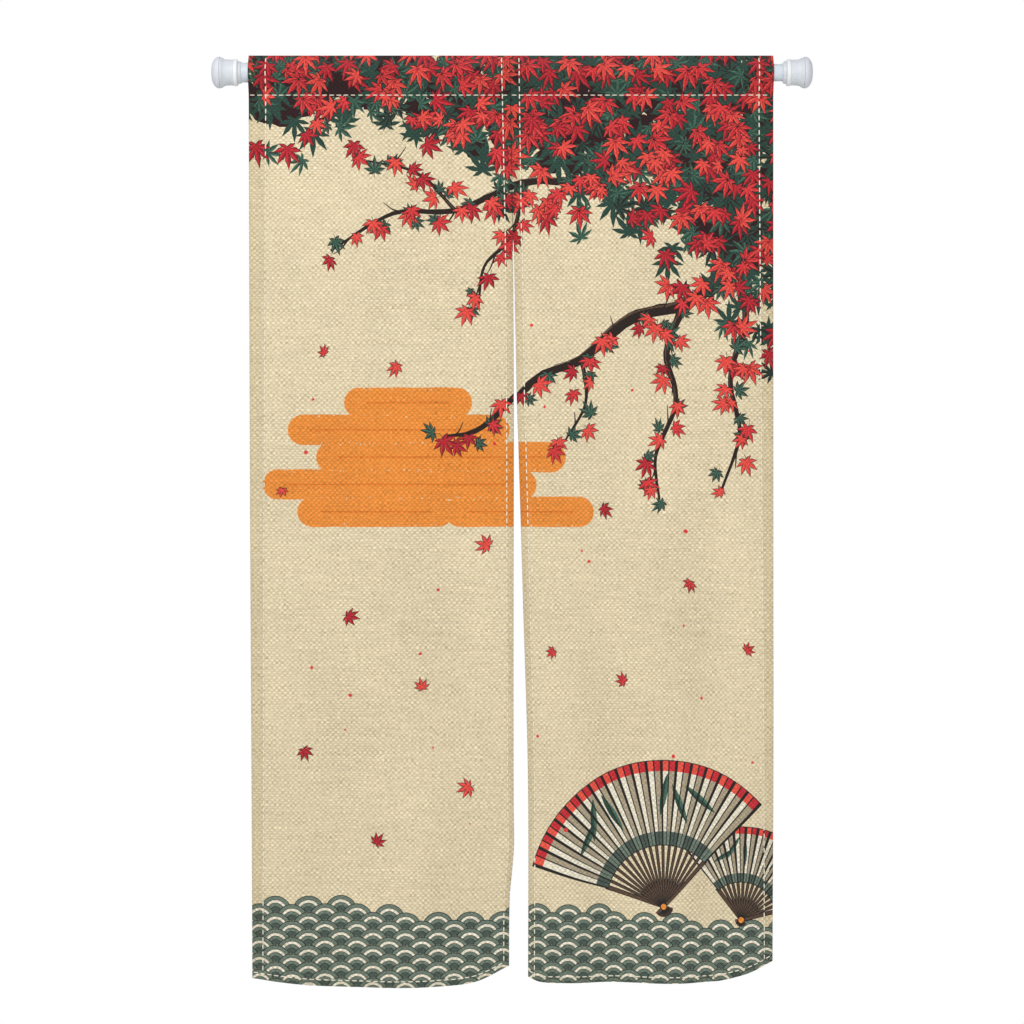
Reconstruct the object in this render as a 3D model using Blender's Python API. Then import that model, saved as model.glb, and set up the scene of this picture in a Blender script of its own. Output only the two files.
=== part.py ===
"""A noren curtain on a telescopic tension rod.

Two cloth panels hang side by side from a rod pocket folded over the rod. They meet along the upper part of the
middle and part below it. The rod is two white tubes, one sliding in the other, with a plastic cap and a domed
pad at each end. X runs along the rod from the face of the left pad, -Y is the front and +Z is up; the rod's
axis is on Z = 0. A drop is a distance below the crease at the very top of the cloth. Lengths are in metres.
"""

import math
from collections import namedtuple

import bmesh
import bpy

# Rod
ROD_LENGTH = 0.969
OUTER_RADIUS = 0.0160
INNER_RADIUS = 0.0142
TUBE_WALL = 0.0015
OUTER_MOUTH = 0.640
TUBE_OVERLAP = 0.160
TURN_STEPS = 24

# End caps and pads, measured from the face of their own pad
PAD_FLAT_RADIUS = 0.0070
PAD_RADIUS = 0.0255
PAD_DOME = 0.0126
PAD_THICKNESS = 0.0136
DOME_STEPS = 5
BOSS_RADIUS = 0.0118
BOSS_LENGTH = 0.0050
SOCKET_FLOOR = 0.0220
FIT_GAP = 0.0003

# Cloth
SHEET = 0.0012
HEM_SHEET = 0.0022
CREASE_HEIGHT = 0.0274
POCKET_DROP = 0.0640
POCKET_TURNING = 0.0040
CLOTH_DROP = 1.5033
OUTER_HEM = 0.0220
INNER_HEM = 0.0120
BOTTOM_HEM = 0.0100
HEM_STEP = 0.0006
ARC_STEPS = 3
BODY_ROWS = 21
RISE_POWER = 4
FIELD_COLUMNS = 16
POCKET_EASE_START = 0.0060
POCKET_EASE_LENGTH = 0.0600

CapRing = namedtuple("CapRing", "along radius")
CAP_OUTLINE = (
    CapRing(0.0139, 0.0249),
    CapRing(0.0165, 0.0246),
    CapRing(0.0195, 0.0226),
    CapRing(0.0235, 0.0212),
    CapRing(0.0300, 0.0207),
    CapRing(0.0345, 0.0208),
    CapRing(0.0362, 0.0218),
    CapRing(0.0395, 0.0218),
    CapRing(0.0412, 0.0206),
    CapRing(0.0420, 0.0186),
    CapRing(0.0479, 0.0174),
)

EdgePoint = namedtuple("EdgePoint", "drop x")
LEFT_SIDE = (
    EdgePoint(0.000, 0.0594),
    EdgePoint(0.717, 0.0618),
    EdgePoint(1.510, 0.0658),
)
LEFT_SPLIT = (
    EdgePoint(0.000, 0.48030),
    EdgePoint(0.270, 0.48543),
    EdgePoint(0.300, 0.48600),
    EdgePoint(0.588, 0.48740),
    EdgePoint(0.880, 0.48610),
    EdgePoint(1.200, 0.48430),
    EdgePoint(1.360, 0.48080),
    EdgePoint(1.510, 0.47900),
)
RIGHT_SPLIT = (
    EdgePoint(0.000, 0.48060),
    EdgePoint(0.270, 0.48573),
    EdgePoint(0.300, 0.48630),
    EdgePoint(0.440, 0.49120),
    EdgePoint(0.588, 0.49440),
    EdgePoint(0.880, 0.50210),
    EdgePoint(1.168, 0.51020),
    EdgePoint(1.510, 0.51060),
)
RIGHT_SIDE = (
    EdgePoint(0.000, 0.9059),
    EdgePoint(0.900, 0.9062),
    EdgePoint(1.510, 0.9055),
)

# How much shorter the bottom edge is than the longest drop, at a share of the panel's width
BottomPoint = namedtuple("BottomPoint", "share rise")
LEFT_BOTTOM = (
    BottomPoint(0.00, 0.0150),
    BottomPoint(0.14, 0.0060),
    BottomPoint(0.30, 0.0022),
    BottomPoint(0.58, 0.0000),
    BottomPoint(0.74, 0.0012),
    BottomPoint(0.88, 0.0100),
    BottomPoint(1.00, 0.0335),
)
RIGHT_BOTTOM = (
    BottomPoint(0.00, 0.0165),
    BottomPoint(0.045, 0.0086),
    BottomPoint(0.15, 0.0082),
    BottomPoint(0.76, 0.0086),
    BottomPoint(0.86, 0.0178),
    BottomPoint(0.94, 0.0290),
    BottomPoint(1.00, 0.0425),
)

# Soft upright folds. share is the place across the panel, width the half width, lift how far the fold stands
# forward at the bottom edge, top the drop where it begins, and drift how far it leans sideways on its way down.
Fold = namedtuple("Fold", "share width lift top drift")
LEFT_FOLDS = (
    Fold(0.00, 0.045, -0.0060, 0.60, 0.000),
    Fold(0.15, 0.070, 0.0055, 0.34, 0.006),
    Fold(0.36, 0.075, -0.0060, 0.24, -0.010),
    Fold(0.58, 0.080, 0.0070, 0.40, 0.008),
    Fold(0.80, 0.065, -0.0045, 0.30, 0.004),
    Fold(1.00, 0.060, -0.0110, 0.95, 0.000),
)
RIGHT_FOLDS = (
    Fold(0.00, 0.050, -0.0070, 0.50, 0.000),
    Fold(0.16, 0.065, 0.0085, 0.32, 0.010),
    Fold(0.35, 0.070, -0.0080, 0.26, -0.006),
    Fold(0.56, 0.075, 0.0100, 0.42, 0.012),
    Fold(0.77, 0.070, -0.0085, 0.30, 0.004),
    Fold(0.90, 0.045, 0.0040, 0.60, 0.000),
    Fold(1.00, 0.075, -0.0190, 0.95, 0.000),
)

CREAM = (0.78, 0.68, 0.47, 1.0)
WHITE_PAINT = (0.86, 0.88, 0.90, 1.0)
WHITE_PLASTIC = (0.84, 0.86, 0.88, 1.0)
PAD_WHITE = (0.83, 0.84, 0.90, 1.0)


def clear_scene():
    for item in list(bpy.data.objects):
        bpy.data.objects.remove(item, do_unlink=True)


def material(name, colour, roughness, metallic=0.0):
    made = bpy.data.materials.new(name)
    made.use_nodes = True
    shader = made.node_tree.nodes["Principled BSDF"]
    shader.inputs["Base Color"].default_value = colour
    shader.inputs["Roughness"].default_value = roughness
    shader.inputs["Metallic"].default_value = metallic
    return made


def add_object(name, bm, finish):
    """Closes a bmesh into an object of its own, with its faces turned outwards."""
    bmesh.ops.recalc_face_normals(bm, faces=bm.faces)
    mesh = bpy.data.meshes.new(name)
    bm.to_mesh(mesh)
    bm.free()
    mesh.materials.append(finish)
    mesh.shade_smooth()
    mesh.set_sharp_from_angle(angle=math.radians(35))
    made = bpy.data.objects.new(name, mesh)
    bpy.context.scene.collection.objects.link(made)
    return made


def smooth_ramp(value):
    value = min(max(value, 0.0), 1.0)
    return value * value * (3.0 - 2.0 * value)


def read_rows(rows, at):
    """The smooth curve through rows of (place, value) pairs, read at one place."""
    last = len(rows) - 1
    if at <= rows[0][0]:
        return rows[0][1]
    if at >= rows[last][0]:
        return rows[last][1]
    k = next(i for i in range(last) if at <= rows[i + 1][0])

    def slope(i):
        low = rows[max(i - 1, 0)]
        high = rows[min(i + 1, last)]
        return (high[1] - low[1]) / (high[0] - low[0])

    span = rows[k + 1][0] - rows[k][0]
    t = (at - rows[k][0]) / span
    start = (1 + 2 * t) * (1 - t) ** 2 * rows[k][1] + t * (1 - t) ** 2 * span * slope(k)
    end = t * t * (3 - 2 * t) * rows[k + 1][1] + t * t * (t - 1) * span * slope(k + 1)
    return start + end


def turned(name, profile, finish, closed=False, flip=False):
    """Turns a profile of (along, radius) points about the rod. An open one is closed with flat round ends."""
    bm = bmesh.new()
    rings = []
    for along, radius in profile:
        x = ROD_LENGTH - along if flip else along
        ring = []
        for step in range(TURN_STEPS):
            angle = math.tau * step / TURN_STEPS
            ring.append(bm.verts.new((x, radius * math.sin(angle), radius * math.cos(angle))))
        rings.append(ring)
    pairs = list(zip(rings, rings[1:]))
    if closed:
        pairs.append((rings[-1], rings[0]))
    else:
        bm.faces.new(rings[0])
        bm.faces.new(rings[-1])
    for ring, following in pairs:
        for step in range(TURN_STEPS):
            after = (step + 1) % TURN_STEPS
            bm.faces.new((ring[step], ring[after], following[after], following[step]))
    return add_object(name, bm, finish)


def dome_profile():
    """The pad's rounded face, from its widest ring to its flat middle."""
    points = []
    for step in range(DOME_STEPS + 1):
        angle = math.pi / 2 * (1 - step / DOME_STEPS)
        radius = PAD_FLAT_RADIUS + (PAD_RADIUS - PAD_FLAT_RADIUS) * math.sin(angle)
        points.append((PAD_DOME * (1 - math.cos(angle)), radius))
    return points


def make_pad(name, finish, flip):
    recess = BOSS_RADIUS + FIT_GAP
    floor = PAD_THICKNESS - BOSS_LENGTH
    profile = [(floor, recess), (PAD_THICKNESS, recess), (PAD_THICKNESS, PAD_RADIUS - FIT_GAP)]
    return turned(name, profile + dome_profile(), finish, flip=flip)


def make_cap(name, tube_radius, finish, flip):
    seat = CAP_OUTLINE[0].along
    bore = tube_radius + FIT_GAP
    collar_end = CAP_OUTLINE[-1].along
    boss = [(seat - BOSS_LENGTH, BOSS_RADIUS), (seat, BOSS_RADIUS)]
    socket = [(collar_end, bore), (SOCKET_FLOOR, bore)]
    return turned(name, boss + list(CAP_OUTLINE) + socket, finish, flip=flip)


def make_tube(name, start, end, radius, finish):
    inside = radius - TUBE_WALL
    profile = [(start, radius), (end, radius), (end, inside), (start, inside)]
    return turned(name, profile, finish, closed=True)


def rod_radius(x):
    """The radius that the pocket lies on: the outer tube's, easing down to the inner tube's past its mouth."""
    eased = smooth_ramp((x - OUTER_MOUTH - POCKET_EASE_START) / POCKET_EASE_LENGTH)
    return OUTER_RADIUS + (INNER_RADIUS - OUTER_RADIUS) * eased


def pocket_points(radius, side):
    """Inner and outer (y, z) points of one layer of the pocket, from the crease down. side is -1 at the front."""
    crease = CREASE_HEIGHT / (1 + SHEET / radius)
    foot = POCKET_DROP - CREASE_HEIGHT - SHEET
    high = math.acos(radius / crease)
    low = math.pi - math.acos(radius / foot)
    step = (low - high) / ARC_STEPS
    clear = radius / math.cos(step / 2)
    inner = []
    outer = []
    for k in range(ARC_STEPS + 1):
        angle = high + step * k
        inner.append((side * clear * math.sin(angle), clear * math.cos(angle)))
        outer.append((side * (clear + SHEET) * math.sin(angle), (clear + SHEET) * math.cos(angle)))
    return inner, outer


def fold_depth(folds, share, width, drop):
    """How far the cloth stands forward of the flat at a point, from all the folds together."""
    forward = 0.0
    for fold in folds:
        growth = smooth_ramp((drop - fold.top) / (CLOTH_DROP - fold.top))
        away = (share * width - fold.share * width - fold.drift * growth) / fold.width
        if abs(away) < 1:
            forward += fold.lift * growth * math.cos(away * math.pi / 2) ** 2
    return forward


def body_drops(rise):
    """The drops of the rows from the pocket's seam to the bottom edge, whose rise the lowest rows take up."""
    start = POCKET_DROP + POCKET_TURNING + HEM_STEP
    end = CLOTH_DROP - BOTTOM_HEM - HEM_STEP
    rows = []
    for k in range(BODY_ROWS + 1):
        share = k / BODY_ROWS
        rows.append(start + (end - start) * share - rise * share**RISE_POWER)
    longest = CLOTH_DROP - rise
    return rows + [longest - BOTTOM_HEM, longest]


def column_distances(width, left_hem, right_hem):
    """Distances from the panel's left edge of the columns, with a step at the inside of each side hem."""
    start = left_hem + HEM_STEP
    end = width - right_hem - HEM_STEP
    field = [start + (end - start) * k / FIELD_COLUMNS for k in range(FIELD_COLUMNS + 1)]
    return [0.0, left_hem] + field + [width - right_hem, width]


def panel_column(panel, distance):
    """One upright slice of a panel: the outline of its section and of its pocket, as (x, y, z) points."""
    width = panel.right[0].x - panel.left[0].x
    share = distance / width

    def place(drop, y):
        left = read_rows(panel.left, drop)
        right = read_rows(panel.right, drop)
        x = left + (right - left) * share
        return (x, y - fold_depth(panel.folds, share, width, drop), CREASE_HEIGHT - drop)

    hem = distance <= panel.left_hem or distance >= width - panel.right_hem
    sheet = HEM_SHEET if hem else SHEET
    radius = rod_radius(read_rows(panel.left, 0.0) + distance) + FIT_GAP
    front_inner, front_outer = pocket_points(radius, -1)
    back_inner, back_outer = pocket_points(radius, 1)
    crease = CREASE_HEIGHT / (1 + SHEET / radius)

    def upper(points):
        return [place(CREASE_HEIGHT - z, y) for y, z in points]

    drops = body_drops(read_rows(panel.bottom, share))
    turning = POCKET_DROP + POCKET_TURNING
    front = [place(drop, -SHEET) for drop in reversed(drops)]
    back = [place(drop, -SHEET + (sheet if drop < drops[-2] else HEM_SHEET)) for drop in drops]
    outline = front + [place(turning, -SHEET), place(POCKET_DROP, -SHEET)]
    outline += upper(reversed(front_outer)) + [place(0.0, 0.0)] + upper(back_outer)
    outline += [place(POCKET_DROP, SHEET), place(turning, SHEET)] + back
    vertex = place(POCKET_DROP - SHEET, 0.0)
    tunnel = [vertex] + upper(reversed(front_inner)) + upper([(0.0, crease)]) + upper(back_inner)
    return outline, tunnel


def side_faces(outline, tunnel):
    """The faces that close a panel at one side: a strip down the body and one round the pocket."""
    body = BODY_ROWS + 3
    faces = []
    for k in range(body + 1):
        faces.append((outline[k], outline[k + 1], outline[-2 - k], outline[-1 - k]))
    front = body + 1
    back = len(outline) - 1 - front
    faces.append((outline[front], tunnel[0], outline[back]))
    count = len(tunnel)
    for k in range(count):
        after = (k + 1) % count
        faces.append((outline[front + k], outline[front + k + 1], tunnel[after], tunnel[k]))
    return faces


Panel = namedtuple("Panel", "left right bottom folds left_hem right_hem")


def make_panel(name, panel, finish):
    bm = bmesh.new()
    width = panel.right[0].x - panel.left[0].x
    columns = []
    for distance in column_distances(width, panel.left_hem, panel.right_hem):
        outline, tunnel = panel_column(panel, distance)
        columns.append(([bm.verts.new(p) for p in outline], [bm.verts.new(p) for p in tunnel]))
    for column, following in zip(columns, columns[1:]):
        for loop, other in zip(column, following):
            for k, vert in enumerate(loop):
                after = (k + 1) % len(loop)
                bm.faces.new((vert, loop[after], other[after], other[k]))
    for outline, tunnel in (columns[0], columns[-1]):
        for face in side_faces(outline, tunnel):
            bm.faces.new(face)
    return add_object(name, bm, finish)


def build():
    clear_scene()
    cloth = material("cream_cloth", CREAM, 0.92)
    paint = material("white_paint", WHITE_PAINT, 0.35, 0.1)
    plastic = material("white_plastic", WHITE_PLASTIC, 0.4)
    pad = material("white_pad", PAD_WHITE, 0.5)
    left = Panel(LEFT_SIDE, LEFT_SPLIT, LEFT_BOTTOM, LEFT_FOLDS, OUTER_HEM, INNER_HEM)
    right = Panel(RIGHT_SPLIT, RIGHT_SIDE, RIGHT_BOTTOM, RIGHT_FOLDS, INNER_HEM, OUTER_HEM)
    make_panel("panel_left", left, cloth)
    make_panel("panel_right", right, cloth)
    tube_start = SOCKET_FLOOR + FIT_GAP
    make_tube("rod_outer_tube", tube_start, OUTER_MOUTH, OUTER_RADIUS, paint)
    make_tube("rod_inner_tube", OUTER_MOUTH - TUBE_OVERLAP, ROD_LENGTH - tube_start, INNER_RADIUS, paint)
    make_cap("cap_left", OUTER_RADIUS, plastic, flip=False)
    make_cap("cap_right", INNER_RADIUS, plastic, flip=True)
    make_pad("pad_left", pad, flip=False)
    make_pad("pad_right", pad, flip=True)


build()
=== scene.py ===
"""The looks of a noren curtain on a tension rod.

Each cloth is one thin sheet, folded over the rod and turned back at its hems as the real one is. The print is
drawn as flat outlines, the flat sheet is cut along them, and then it is hung. X runs along the rod, -Y is the
front and +Z is up. u is the place across a cloth and v the place down it from the crease over the rod, below
zero on the pocket's back. Lengths are in metres.
"""

import math
import random
from collections import namedtuple
from functools import partial

import bpy
import numpy as np
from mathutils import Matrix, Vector
from mathutils.geometry import delaunay_2d_cdt


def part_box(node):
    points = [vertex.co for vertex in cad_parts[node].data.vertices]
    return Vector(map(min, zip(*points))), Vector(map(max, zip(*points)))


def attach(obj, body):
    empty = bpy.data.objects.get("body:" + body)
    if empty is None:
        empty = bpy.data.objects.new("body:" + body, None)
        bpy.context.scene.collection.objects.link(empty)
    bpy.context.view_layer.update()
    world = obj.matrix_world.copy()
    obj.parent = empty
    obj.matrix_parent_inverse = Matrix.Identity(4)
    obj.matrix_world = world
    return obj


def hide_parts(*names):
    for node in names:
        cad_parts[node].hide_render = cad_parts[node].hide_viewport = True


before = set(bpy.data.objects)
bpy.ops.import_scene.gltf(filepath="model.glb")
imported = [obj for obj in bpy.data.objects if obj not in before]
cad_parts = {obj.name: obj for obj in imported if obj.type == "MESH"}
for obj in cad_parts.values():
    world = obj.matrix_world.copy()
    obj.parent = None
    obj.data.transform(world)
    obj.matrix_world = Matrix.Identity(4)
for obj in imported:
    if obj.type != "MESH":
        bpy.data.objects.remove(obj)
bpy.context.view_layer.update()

# The rod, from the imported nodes
ROD_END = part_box("pad_right")[1][0]
OUTER_LOW, OUTER_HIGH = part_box("rod_outer_tube")
INNER_LOW, INNER_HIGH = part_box("rod_inner_tube")
OUTER_RADIUS = (OUTER_HIGH[2] - OUTER_LOW[2]) / 2
INNER_RADIUS = (INNER_HIGH[2] - INNER_LOW[2]) / 2
OUTER_MOUTH = OUTER_HIGH[0]
PAD_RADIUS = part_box("pad_left")[1][2]

# The cloth, as in its solids
CREASE_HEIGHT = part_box("panel_left")[1][2]
CLOTH_DROP = 1.5033
POCKET_DROP = 0.0640
POCKET_TURNING = 0.0040
SOLID_SHEET = 0.0012
BOTTOM_HEM = 0.0100
FIT_GAP = 0.0003
POCKET_EASE_START = 0.0060
POCKET_EASE_LENGTH = 0.0600

# The thin sheet
SHEET = 0.0006
LAYER_GAP = 0.0001
HEM_LAYER = 0.0010
POCKET_HEM_LAYER = 0.0005
CREASE_ROUND = 0.0006
POCKET_UNDER = 0.0080

# The two panels' inner edges are sewn together down to here, which closes the gap left between the solids
SEAM_END = 0.2965
SEAM_CLOSING = 0.00015

# The cloth's edges: drop and x for the sides and the split, share of the width and rise for the foot
LEFT_SIDE = ((0.0, 0.0594), (0.717, 0.0618), (1.2, 0.064), (1.51, 0.065))
LEFT_SPLIT = (
    (0.0, 0.4803), (0.27, 0.48543), (0.3, 0.486), (0.588, 0.4874), (0.88, 0.4869),
    (1.2, 0.487), (1.275, 0.4877), (1.32, 0.4842), (1.362, 0.4806), (1.51, 0.4796),
)
RIGHT_SPLIT = (
    (0.0, 0.4806), (0.27, 0.48573), (0.297, 0.48623), (0.307, 0.48705), (0.34, 0.488), (0.395, 0.48895),
    (0.47, 0.4905), (0.55, 0.492), (0.64, 0.495), (0.88, 0.5021), (1.168, 0.5102), (1.51, 0.5104),
)
RIGHT_SIDE = ((0.0, 0.9059), (0.9, 0.9061), (1.2, 0.9067), (1.51, 0.9064))
LEFT_BOTTOM = (
    (0.0, 0.014), (0.14, 0.0076), (0.3, 0.0012), (0.5, 0.0),
    (0.68, 0.0008), (0.81, 0.0036), (0.89, 0.0115), (1.00, 0.0335),
)
RIGHT_BOTTOM = (
    (0.0, 0.0165), (0.045, 0.0086), (0.15, 0.0082), (0.76, 0.0086),
    (0.86, 0.0174), (0.94, 0.0282), (1.00, 0.04),
)

Fold = namedtuple("Fold", "share width lift top drift")
LEFT_FOLDS = (
    Fold(0.00, 0.045, -0.0060, 0.60, 0.000),
    Fold(0.15, 0.070, 0.0055, 0.34, 0.006),
    Fold(0.36, 0.075, -0.0060, 0.24, -0.010),
    Fold(0.58, 0.080, 0.0070, 0.40, 0.008),
    Fold(0.80, 0.065, -0.0045, 0.30, 0.004),
    Fold(1.00, 0.060, -0.0110, 0.95, 0.000),
)
RIGHT_FOLDS = (
    Fold(0.00, 0.050, -0.0070, 0.50, 0.000),
    Fold(0.16, 0.065, 0.0085, 0.32, 0.010),
    Fold(0.35, 0.070, -0.0080, 0.26, -0.006),
    Fold(0.56, 0.075, 0.0100, 0.42, 0.012),
    Fold(0.77, 0.070, -0.0085, 0.30, 0.004),
    Fold(0.90, 0.045, 0.0040, 0.60, 0.000),
    Fold(1.00, 0.075, -0.0190, 0.95, 0.000),
)

# How far the side hems' stitches run from the cloth's edges, by drop. The turnings end a little beyond them.
LEFT_OUTER_SEAM = ((0.00, 0.0283), (0.15, 0.0268), (0.75, 0.0222), (1.52, 0.0175))
LEFT_INNER_SEAM = ((0.00, 0.0130), (0.35, 0.0121), (0.90, 0.0106), (1.52, 0.0086))
RIGHT_INNER_SEAM = ((0.00, 0.0150), (0.35, 0.0136), (0.90, 0.0118), (1.52, 0.0108))
RIGHT_OUTER_SEAM = ((0.00, 0.0235), (0.10, 0.0231), (0.75, 0.0192), (1.52, 0.0145))
TURNING_BEYOND = 0.0016

Panel = namedtuple(
    "Panel", "name node left right bottom folds left_seam right_seam left_closing right_closing offset")
LEFT_WIDTH = LEFT_SPLIT[0][1] - LEFT_SIDE[0][1]
RIGHT_WIDTH = RIGHT_SIDE[0][1] - RIGHT_SPLIT[0][1]
PANELS = (
    Panel("left", "panel_left", LEFT_SIDE, LEFT_SPLIT, LEFT_BOTTOM, LEFT_FOLDS,
          LEFT_OUTER_SEAM, LEFT_INNER_SEAM, 0.0, SEAM_CLOSING, 0.0),
    Panel("right", "panel_right", RIGHT_SPLIT, RIGHT_SIDE, RIGHT_BOTTOM, RIGHT_FOLDS,
          RIGHT_INNER_SEAM, RIGHT_OUTER_SEAM, SEAM_CLOSING, 0.0, LEFT_WIDTH),
)
PRINT_WIDTH = LEFT_WIDTH + RIGHT_WIDTH

# Mesh steps
COLUMN_STEP = 0.009
BODY_STEP = 0.012
REVERSE_STEP = 0.0080
RIM_CLEARANCE = 0.0012
POCKET_STEP = 0.004
CUT_EPSILON = 2e-6

# The print's inks, as sRGB bytes
INKS = {
    "ground": (231, 215, 180),
    "coral": (238, 88, 72),
    "rose": (226, 68, 66),
    "crimson": (204, 48, 56),
    "deep_red": (160, 34, 46),
    "outline": (48, 26, 28),
    "green": (70, 108, 90),
    "dark_green": (44, 72, 62),
    "bark": (44, 34, 30),
    "bark_light": (92, 72, 58),
    "orange": (238, 146, 62),
    "amber": (226, 126, 48),
    "grey_green": (112, 128, 114),
    "slate": (78, 92, 84),
    "ink_line": (40, 38, 36),
    "white": (240, 232, 210),
    "shade": (176, 162, 136),
    "shade_dark": (140, 128, 106),
}
INK_NAMES = list(INKS)


def linear(colour):
    """sRGB bytes as linear values."""
    values = np.asarray(colour, float) / 255
    return np.where(values <= 0.04045, values / 12.92, ((values + 0.055) / 1.055) ** 2.4)


INK_TABLE = np.array([linear(INKS[name]) for name in INK_NAMES])


# Smooth curves and the hung surface

def smooth_rows(rows, at):
    """The smooth curve through rows of (place, value) pairs, read at an array of places."""
    places = np.array([row[0] for row in rows])
    values = np.array([row[1] for row in rows])
    at = np.clip(np.asarray(at, float), places[0], places[-1])
    low = np.maximum(np.arange(len(rows)) - 1, 0)
    high = np.minimum(np.arange(len(rows)) + 1, len(rows) - 1)
    slopes = (values[high] - values[low]) / (places[high] - places[low])
    k = np.clip(np.searchsorted(places, at, side="left") - 1, 0, len(rows) - 2)
    span = places[k + 1] - places[k]
    t = (at - places[k]) / span
    start = (1 + 2 * t) * (1 - t) ** 2 * values[k] + t * (1 - t) ** 2 * span * slopes[k]
    end = t * t * (3 - 2 * t) * values[k + 1] + t * t * (t - 1) * span * slopes[k + 1]
    return start + end


def ramp(value):
    value = np.clip(value, 0, 1)
    return value * value * (3 - 2 * value)


def unit(vectors):
    return vectors / np.maximum(np.linalg.norm(vectors, axis=-1, keepdims=True), 1e-12)


def width_of(panel):
    return panel.right[0][1] - panel.left[0][1]


def edge_distance(panel, u):
    """How far in from the nearer side edge a place across the cloth is."""
    return np.minimum(np.abs(u), np.abs(width_of(panel) - u))


def turnings(panel, v):
    """The widths of the two side turnings at places down the cloth."""
    seams = (panel.left_seam, panel.right_seam)
    return tuple(smooth_rows(seam, np.abs(v)) + TURNING_BEYOND for seam in seams)


def bottom_drop(panel, u):
    share = np.clip(np.asarray(u) / width_of(panel), 0, 1)
    return CLOTH_DROP - smooth_rows(panel.bottom, share)


def fold_depth(panel, share, drop):
    """How far the cloth stands forward of the flat, from all the folds together."""
    width = width_of(panel)
    forward = np.zeros(np.broadcast(share, drop).shape)
    for fold in panel.folds:
        growth = ramp((drop - fold.top) / (CLOTH_DROP - fold.top))
        away = (share * width - fold.share * width - fold.drift * growth) / fold.width
        bump = np.cos(np.clip(away, -1, 1) * math.pi / 2) ** 2
        forward = forward + fold.lift * growth * bump
    return forward


PUCKER_DEPTH = 0.00045
PUCKER_LENGTH = 0.085
PUCKER_RISE = 0.006


def puckers(share, drop, width):
    """Small upright ripples that the pocket's seam gathers, fading out below it."""
    across = share * width
    wave = np.sin(across * 251 + 1.3 * np.sin(across * 61)) * (0.6 + 0.4 * np.sin(across * 37 + 2))
    rise = ramp((drop - POCKET_DROP + PUCKER_RISE) / (2 * PUCKER_RISE))
    fade = np.exp(-np.maximum(drop - POCKET_DROP, 0) / (PUCKER_LENGTH / 3))
    return PUCKER_DEPTH * wave * rise * fade


def pocket_half_depth(x, drop):
    """How far the pocket's outer face stands off the upright plane through the rod's axis, at a drop."""
    eased = ramp((x - OUTER_MOUTH - POCKET_EASE_START) / POCKET_EASE_LENGTH)
    radius = OUTER_RADIUS + (INNER_RADIUS - OUTER_RADIUS) * eased + FIT_GAP + SOLID_SHEET
    seam = CREASE_HEIGHT - POCKET_DROP
    height = CREASE_HEIGHT - drop
    high = np.arccos(radius / CREASE_HEIGHT)
    reach = np.hypot(seam, SOLID_SHEET)
    low = math.pi - np.arccos(radius / reach)
    slope = np.tan(math.pi / 2 - high)
    rounded = np.sqrt(drop * (drop + 2 * CREASE_ROUND))
    upper = slope * (rounded - CREASE_ROUND * ramp(drop / (4 * CREASE_ROUND)))
    arc = np.sqrt(np.maximum(radius**2 - height**2, 0))
    foot_y, foot_z = radius * np.sin(low), radius * np.cos(low)
    lower = foot_y + (SOLID_SHEET - foot_y) * (height - foot_z) / (seam - foot_z)
    depth = np.where(height > radius * np.cos(high), upper, np.where(height > foot_z, arc, lower))
    return np.where(height < seam, SOLID_SHEET, depth)


def edge_radius(v):
    """Half the thickness of a side hem, which is how its folded edge is rounded."""
    layer = np.where(np.abs(v) < POCKET_DROP, POCKET_HEM_LAYER, HEM_LAYER)
    return (SHEET + LAYER_GAP + layer) / 2


def edge_place(panel, u, v):
    """How far in from the nearer side edge a place is, in radii of the edge's rounding, up to one."""
    return np.clip(edge_distance(panel, u) / edge_radius(v), 0, 1)


ROUNDING = 0.94
THINNEST = 0.05


def edge_setback(panel, u, v):
    """How far the cloth's face curves back at its folded side edges."""
    near = 1 - edge_place(panel, u, v)
    return ROUNDING * edge_radius(v) * (1 - np.sqrt(1 - near * near))


def surface(panel, u, v, rounded=True):
    """The outer face of the hung sheet at flat places: its front where v is above zero, its back below."""
    drop = np.abs(v)
    share = u / width_of(panel)
    left = smooth_rows(panel.left, drop) - panel.left_closing * (drop < SEAM_END)
    right = smooth_rows(panel.right, drop) + panel.right_closing * (drop < SEAM_END)
    x = left + (right - left) * share
    depth = pocket_half_depth(x, drop)
    if rounded:
        depth = depth - edge_setback(panel, u, v)
    forward = fold_depth(panel, share, drop) + puckers(share, drop, width_of(panel)) * (v > 0)
    y = np.where(v >= 0, -depth, depth) - forward
    return np.stack([x, y, CREASE_HEIGHT - drop], axis=-1)


def surface_normals(panel, u, v, rounded=True):
    """Unit normals of the outer face, pointing away from the cloth."""
    step = 0.0001
    width = width_of(panel)
    low, high = np.maximum(u - step, 0), np.minimum(u + step, width)
    across = surface(panel, high, v, rounded) - surface(panel, low, v, rounded)
    along = surface(panel, u, v + step, rounded) - surface(panel, u, v - step, rounded)
    return unit(np.cross(along, across))


# Drawing the print: a list of flat outlines, each painted over those before it

def curve_through(points, steps):
    """A smooth curve through flat points, as an array."""
    points = np.array(points, float)
    padded = np.vstack([2 * points[0] - points[1], points, 2 * points[-1] - points[-2]])
    found = []
    for k in range(len(points) - 1):
        a, b, c, d = padded[k:k + 4]
        for t in np.linspace(0, 1, steps, endpoint=False):
            found.append(0.5 * (2 * b + (c - a) * t + (2 * a - 5 * b + 4 * c - d) * t * t
                                + (3 * b - a - 3 * c + d) * t**3))
    found.append(points[-1])
    return np.array(found)


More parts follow.
